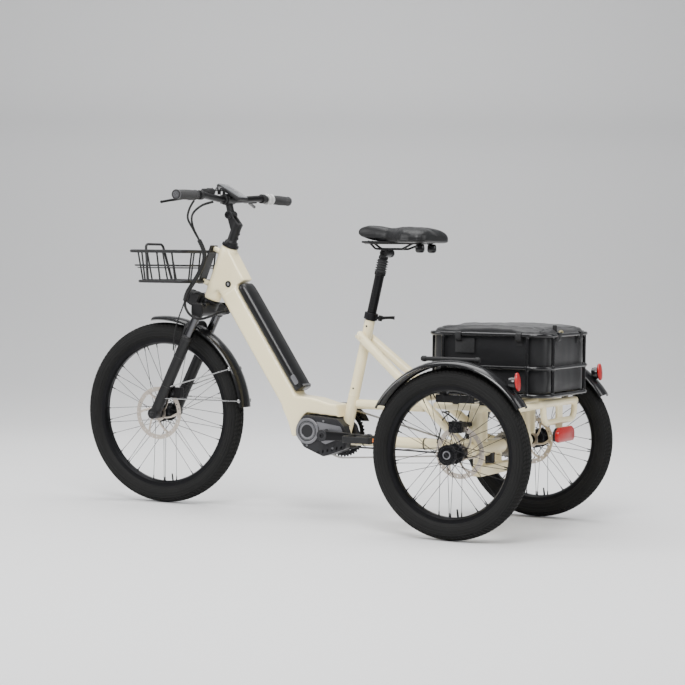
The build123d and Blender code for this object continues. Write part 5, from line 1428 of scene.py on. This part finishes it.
# cassette, derailleur, chain, guard
cogs = []
for k, radius in enumerate((44, 41, 38, 36, 34, 30, 26)):
    y = -52 - 5 * (5 - k)
    loop = toothed((radius, radius - 0.6, radius - 4.4, radius - 4.4),
                   int(radius * 2 * math.pi / CHAIN_PITCH))
    cogs.append(slab(loop, 1.8, V(-648, y, 261), LEFT, (1, 0, 0), [circle(18, steps=32)], 0.2))
cogs.append(lathe([(10.2, -99), (19.4, -99), (19.9, -98), (19.9, -43), (19.4, -42), (10.2, -42)],
                  V(-648, 0, 261), LEFT, 48))
cogs.append(rod(V(-648, -129.5, 261), V(-648, -0.5, 261), 9.8))
piece("cassette_cogs", join(*cogs), "chain_steel", "cassette", ("cassette",), sharp=34)


def belt_path(circles, grow):
    """The outside tangent loop round circles given as (x, z, r), in order, as one closed path."""
    out = []
    n = len(circles)
    marks = []
    for i in range(n):
        x1, z1, r1 = circles[i]
        x2, z2, r2 = circles[(i + 1) % n]
        dx, dz = x2 - x1, z2 - z1
        d = math.hypot(dx, dz)
        base_angle = math.atan2(dz, dx)
        off = math.acos((r1 - r2) / d)
        marks.append((base_angle - off, i, (i + 1) % n))
    for i in range(n):
        arrive = marks[i - 1][0]
        leave = marks[i][0]
        x, z, r = circles[i]
        sweep_angle = (leave - arrive) % (2 * math.pi)
        steps = max(2, int(sweep_angle * (r + grow) / 6))
        for k in range(steps + 1):
            a = arrive + sweep_angle * k / steps
            out.append(V(x + (r + grow) * math.cos(a), -52, z + (r + grow) * math.sin(a)))
    return out


loop = belt_path([(-71, 271, 81), (-648, 261, 30), (-602, 207, 18)][::-1], 3.6)
total = sum((b - a).length for a, b in zip(loop, loop[1:] + loop[:1]))
links = int(total / (CHAIN_PITCH * MM) / 2) * 2
pins = resample(loop, links)
link_outline = [(cx + 2.85 * math.cos(math.radians(start + 20 * k)),
                 2.85 * math.sin(math.radians(start + 20 * k))) for cx, start in ((6.35, -60), (-6.35, 120))
                for k in range(7)]
link_plate = slab(link_outline, 0.8, Vector((0, 0, 0)), (0, 0, 1), (1, 0, 0))
chain = []
for i, p in enumerate(pins):
    nxt = pins[(i + 1) % links]
    ahead = (nxt - p).normalized()
    for y in (2.1, -2.1) if i % 2 else (3.0, -3.0):
        plate = link_plate.copy()
        chain.append(moved(plate, frame_matrix((p + nxt) / 2 + LEFT * y * MM, LEFT, ahead)))
    chain.append(rod(p - LEFT * 3.3 * MM, p + LEFT * 3.3 * MM, 1.6, 8, 0.2))
piece("chain_links", join(*chain), "chain_steel", "frame", ("chain",), sharp=34)
der = [casting("derailleur", 1.2, 2, 0.4)]
der.append(bolt(V(-585, -94.2, 222), -LEFT, 5.5, 3))
der.append(bolt(V(-602, -61.2, 207), -LEFT, 3.6, 2))
piece("derailleur_cage", join(*der), "crank_black", "derailleur", ("derailleur",), sharp=50)
guard = [casting("chain_guard", 1.3, 2, 0.4), bolt(V(-80, -66.4, 366), -LEFT, 4, 2.6)]
piece("chain_guard_shell", join(*guard), "gloss_black", "frame", ("chain_guard",), sharp=50)

# ---- cables and small fittings -------------------------------------------------------------------
LEFT_LOOP = [(386, 160, 1036), (416, 142, 1008), (429, 131, 976), (415, 119, 940), (398, 109, 905)]
STEM_LOOP = [(372, 62, 1034), (404, 86, 1020), (428, 104, 990), (421, 112, 950), (398, 109, 905)]
BUNDLE = [(398, 109, 905), (384, 101, 868), (384, 99, 835), (400, 99, 800), (425, 99, 762), (448, 99, 730),
          (460, 97, 700)]
CALIPER_HOSE = [(460, 97, 700), (474, 93, 672), (490, 89, 640), (504, 90, 590), (508, 92, 530)]
FRAME_CABLES = [(460, 97, 700), (456, 98, 676), (436, 99, 652), (402, 99, 640), (368, 90, 648),
                (345, 62, 662), (331, 34, 668)]
REAR_LEAD = [(-128, 15, 231), (-330, 14, 231), (-420, 14, 229.5), (-590, 15, 231)]


def route(points, steps=12):
    return smooth_path([V(*p) for p in points], steps)


def offset_path(path, angle, away):
    """The path moved off to one side of its own run."""
    out = []
    for i, p in enumerate(path):
        ahead = (path[min(i + 1, len(path) - 1)] - path[max(i - 1, 0)]).normalized()
        hint = LEFT if abs(ahead.y) < 0.95 else Vector((0, 0, 1))
        side = ahead.cross(hint).normalized()
        top = ahead.cross(side)
        out.append(p + (side * math.cos(angle) + top * math.sin(angle)) * away * MM)
    return out


def spiral_wrap(path, radius, pitch=7.0, sides=18):
    """A flat strip wound round a bundle, showing as soft ridges."""
    fine = []
    for a, b in zip(path, path[1:]):
        for k in range(3):
            fine.append(a.lerp(b, k / 3))
    fine.append(path[-1])
    rings, run, side = [], 0.0, None
    for i, p in enumerate(fine):
        ahead = (fine[min(i + 1, len(fine) - 1)] - fine[max(i - 1, 0)]).normalized()
        if side is None:
            side = LEFT.cross(ahead).normalized()
        side = (side - ahead * side.dot(ahead)).normalized()
        top = ahead.cross(side)
        if i:
            run += (p - fine[i - 1]).length / MM
        ring = []
        for k in range(sides):
            a = 2 * math.pi * k / sides
            phase = (a / (2 * math.pi) + run / pitch) % 1.0
            r = radius - (0.9 if phase < 0.22 else 0.0)
            ring.append(p + (side * math.cos(a) + top * math.sin(a)) * r * MM)
        rings.append(ring)
    return from_rings(rings)


loops = []
for points in (LEFT_LOOP, STEM_LOOP):
    path = route(points)
    for k in range(2):
        loops.append(sweep(offset_path(path, math.pi * k + 0.4, 2.3), 2.3, 12))
loop_piece = piece("bar_hose_loops", join(*loops), "cable_black", None, sharp=50)
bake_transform(loop_piece)
bundle = piece("hose_spiral_wrap", spiral_wrap(route(BUNDLE, 16), 7.6), "cable_black", None, sharp=50)
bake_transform(bundle)
hoses = []
frame_path = route(FRAME_CABLES)
for k in range(3):
    hoses.append(sweep(offset_path(frame_path, 2 * math.pi * k / 3, 2.6), 2.1, 12))
hoses.append(sweep(route(REAR_LEAD), 2.8, 14))
piece("frame_hose_set", join(*hoses), "cable_black", "frame", ("brake_hoses",), sharp=50)
caliper_hose = piece("front_caliper_hose", sweep(route(CALIPER_HOSE), 2.4, 14), "cable_black", None, sharp=50)
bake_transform(caliper_hose)
ties = []
for x in (-180, -290, -400, -510):
    ties.append(lathe([(19.1, -2), (20.2, -2), (20.2, 2), (19.1, 2)], V(x, 0, 254), (1, 0, 0), 48))
piece("cable_ties", join(*ties), "cable_black", "frame", sharp=40)
# rubber plug where the cables enter the neck, the controller box and rear brake hoses
plug = solid_lathe([(0, 0), (12, 0), (12.4, 1.6), (10.6, 3), (0, 3.4)], V(331, 31.6, 668), LEFT, 40)
box = [cube((44, 30, 34), V(-648, 72, 231), (0, 0, 1), (1, 0, 0), 5, 2.5),
       cube((16, 10, 12), V(-622, 72, 238), (1, 0, 0), LEFT, 2, 1)]
piece("controller_box", join(*box), "matte_black", "frame", sharp=34)
piece("cable_plug", plug, "grip_rubber", "frame", sharp=34)
rear_hoses = []
for s in (1, -1):
    rear_hoses.append(sweep(smooth_path([V(-632, s * 268, 356), V(-606, s * 262, 372), V(-574, s * 240, 380),
                                         V(-556, s * 206, 376), V(-552, s * 150, 372), V(-500, s * 90, 340),
                                         V(-470, s * 40, 300), V(-452, s * 24, 262)], 8), 2.4, 12))
piece("rear_brake_hoses", join(*rear_hoses), "cable_black", "frame", sharp=50)

# ---- carried-over CAD nodes ----------------------------------------------------------------------
for name, obj in frame["nodes"].items():
    if obj.hide_render:
        continue
    slot_name = obj.data.materials[0].name if obj.data.materials else "matte_black"
    chosen = next((m for key, m in MAT.items() if slot_name.split(".")[0].endswith(key)), MAT["matte_black"])
    obj.data.materials.clear()
    obj.data.materials.append(chosen)

# ---- floor, lights and camera --------------------------------------------------------------------
scene = bpy.context.scene
floor_mesh = bpy.data.meshes.new("studio_floor")
SWEEP_UP = ((-9.0, 0.0), (0.0, 0.0), (2.6, 0.0), (4.0, 0.02), (5.4, 0.22), (6.6, 0.75), (7.4, 1.6),
            (7.8, 2.8), (8.0, 8.0))
away = Vector((math.cos(math.radians(-61.96)), math.sin(math.radians(-61.96)), 0))
across = Vector((-away.y, away.x, 0))
verts, faces = [], []
fine_rings = smooth_path([Vector((d, 0, z)) for d, z in SWEEP_UP], 6)
for p in fine_rings:
    for w in (-16, 16):
        verts.append(away * p.x + across * w + Vector((0, 0, p.z - 0.0005)))
for i in range(len(fine_rings) - 1):
    faces.append((2 * i, 2 * i + 1, 2 * i + 3, 2 * i + 2))
floor_mesh.from_pydata(verts, [], faces)
floor = bpy.data.objects.new("studio_floor", floor_mesh)
for face in floor_mesh.polygons:
    face.use_smooth = True
scene.collection.objects.link(floor)
ground = bpy.data.materials.new("studio_grey")
ground.use_nodes = True
ground_shader = ground.node_tree.nodes["Principled BSDF"]
ground_shader.inputs["Base Color"].default_value = (0.80, 0.80, 0.80, 1)
ground_shader.inputs["Roughness"].default_value = 0.55
floor_mesh.materials.append(ground)


def area_light(name, at, target, size, power, size_y=None):
    """A rectangular softbox that faces a target."""
    data = bpy.data.lights.new(name, "AREA")
    data.shape = "RECTANGLE"
    data.size = size
    data.size_y = size_y or size
    data.energy = power
    obj = bpy.data.objects.new(name, data)
    obj.location = at
    obj.rotation_euler = (Vector(target) - Vector(at)).to_track_quat("-Z", "Y").to_euler()
    scene.collection.objects.link(obj)


area_light("key_softbox", (-1.4, 2.9, 3.6), (0, 0, 0.5), 2.2, 240)
area_light("front_softbox", (3.4, 2.4, 2.4), (0.2, 0, 0.6), 2.0, 110)
area_light("top_softbox", (0.2, -0.4, 4.2), (0, 0, 0.4), 3.4, 190)
area_light("rear_strip", (-3.8, -1.0, 2.2), (-0.4, 0, 0.5), 1.6, 60, 2.6)
area_light("back_wall_wash", (0.9, -2.0, 3.6), (2.6, -4.6, 1.2), 2.4, 110)
world = bpy.data.worlds.new("studio")
scene.world = world
world.use_nodes = True
world.node_tree.nodes["Background"].inputs["Color"].default_value = (0.93, 0.95, 1.0, 1)
world.node_tree.nodes["Background"].inputs["Strength"].default_value = 0.30

yaw, pitch, roll = (math.radians(a) for a in (-61.9641, -2.3597, 0.6251))
ahead = Vector((math.cos(yaw) * math.cos(pitch), math.sin(yaw) * math.cos(pitch), math.sin(pitch)))
right = ahead.cross(Vector((0, 0, 1))).normalized()
upward = right.cross(ahead)
right, upward = (right * math.cos(roll) + upward * math.sin(roll), upward * math.cos(roll) - right
                 * math.sin(roll))
camera_data = bpy.data.cameras.new("camera")
camera_data.lens = 104.46
camera_data.sensor_width = 36
camera = bpy.data.objects.new("camera", camera_data)
place = (-3.16159, 5.76362, 0.84091)
camera.matrix_world = Matrix([[right[i], upward[i], -ahead[i], place[i]] for i in range(3)] + [[0, 0, 0, 1]])
scene.collection.objects.link(camera)
scene.camera = camera
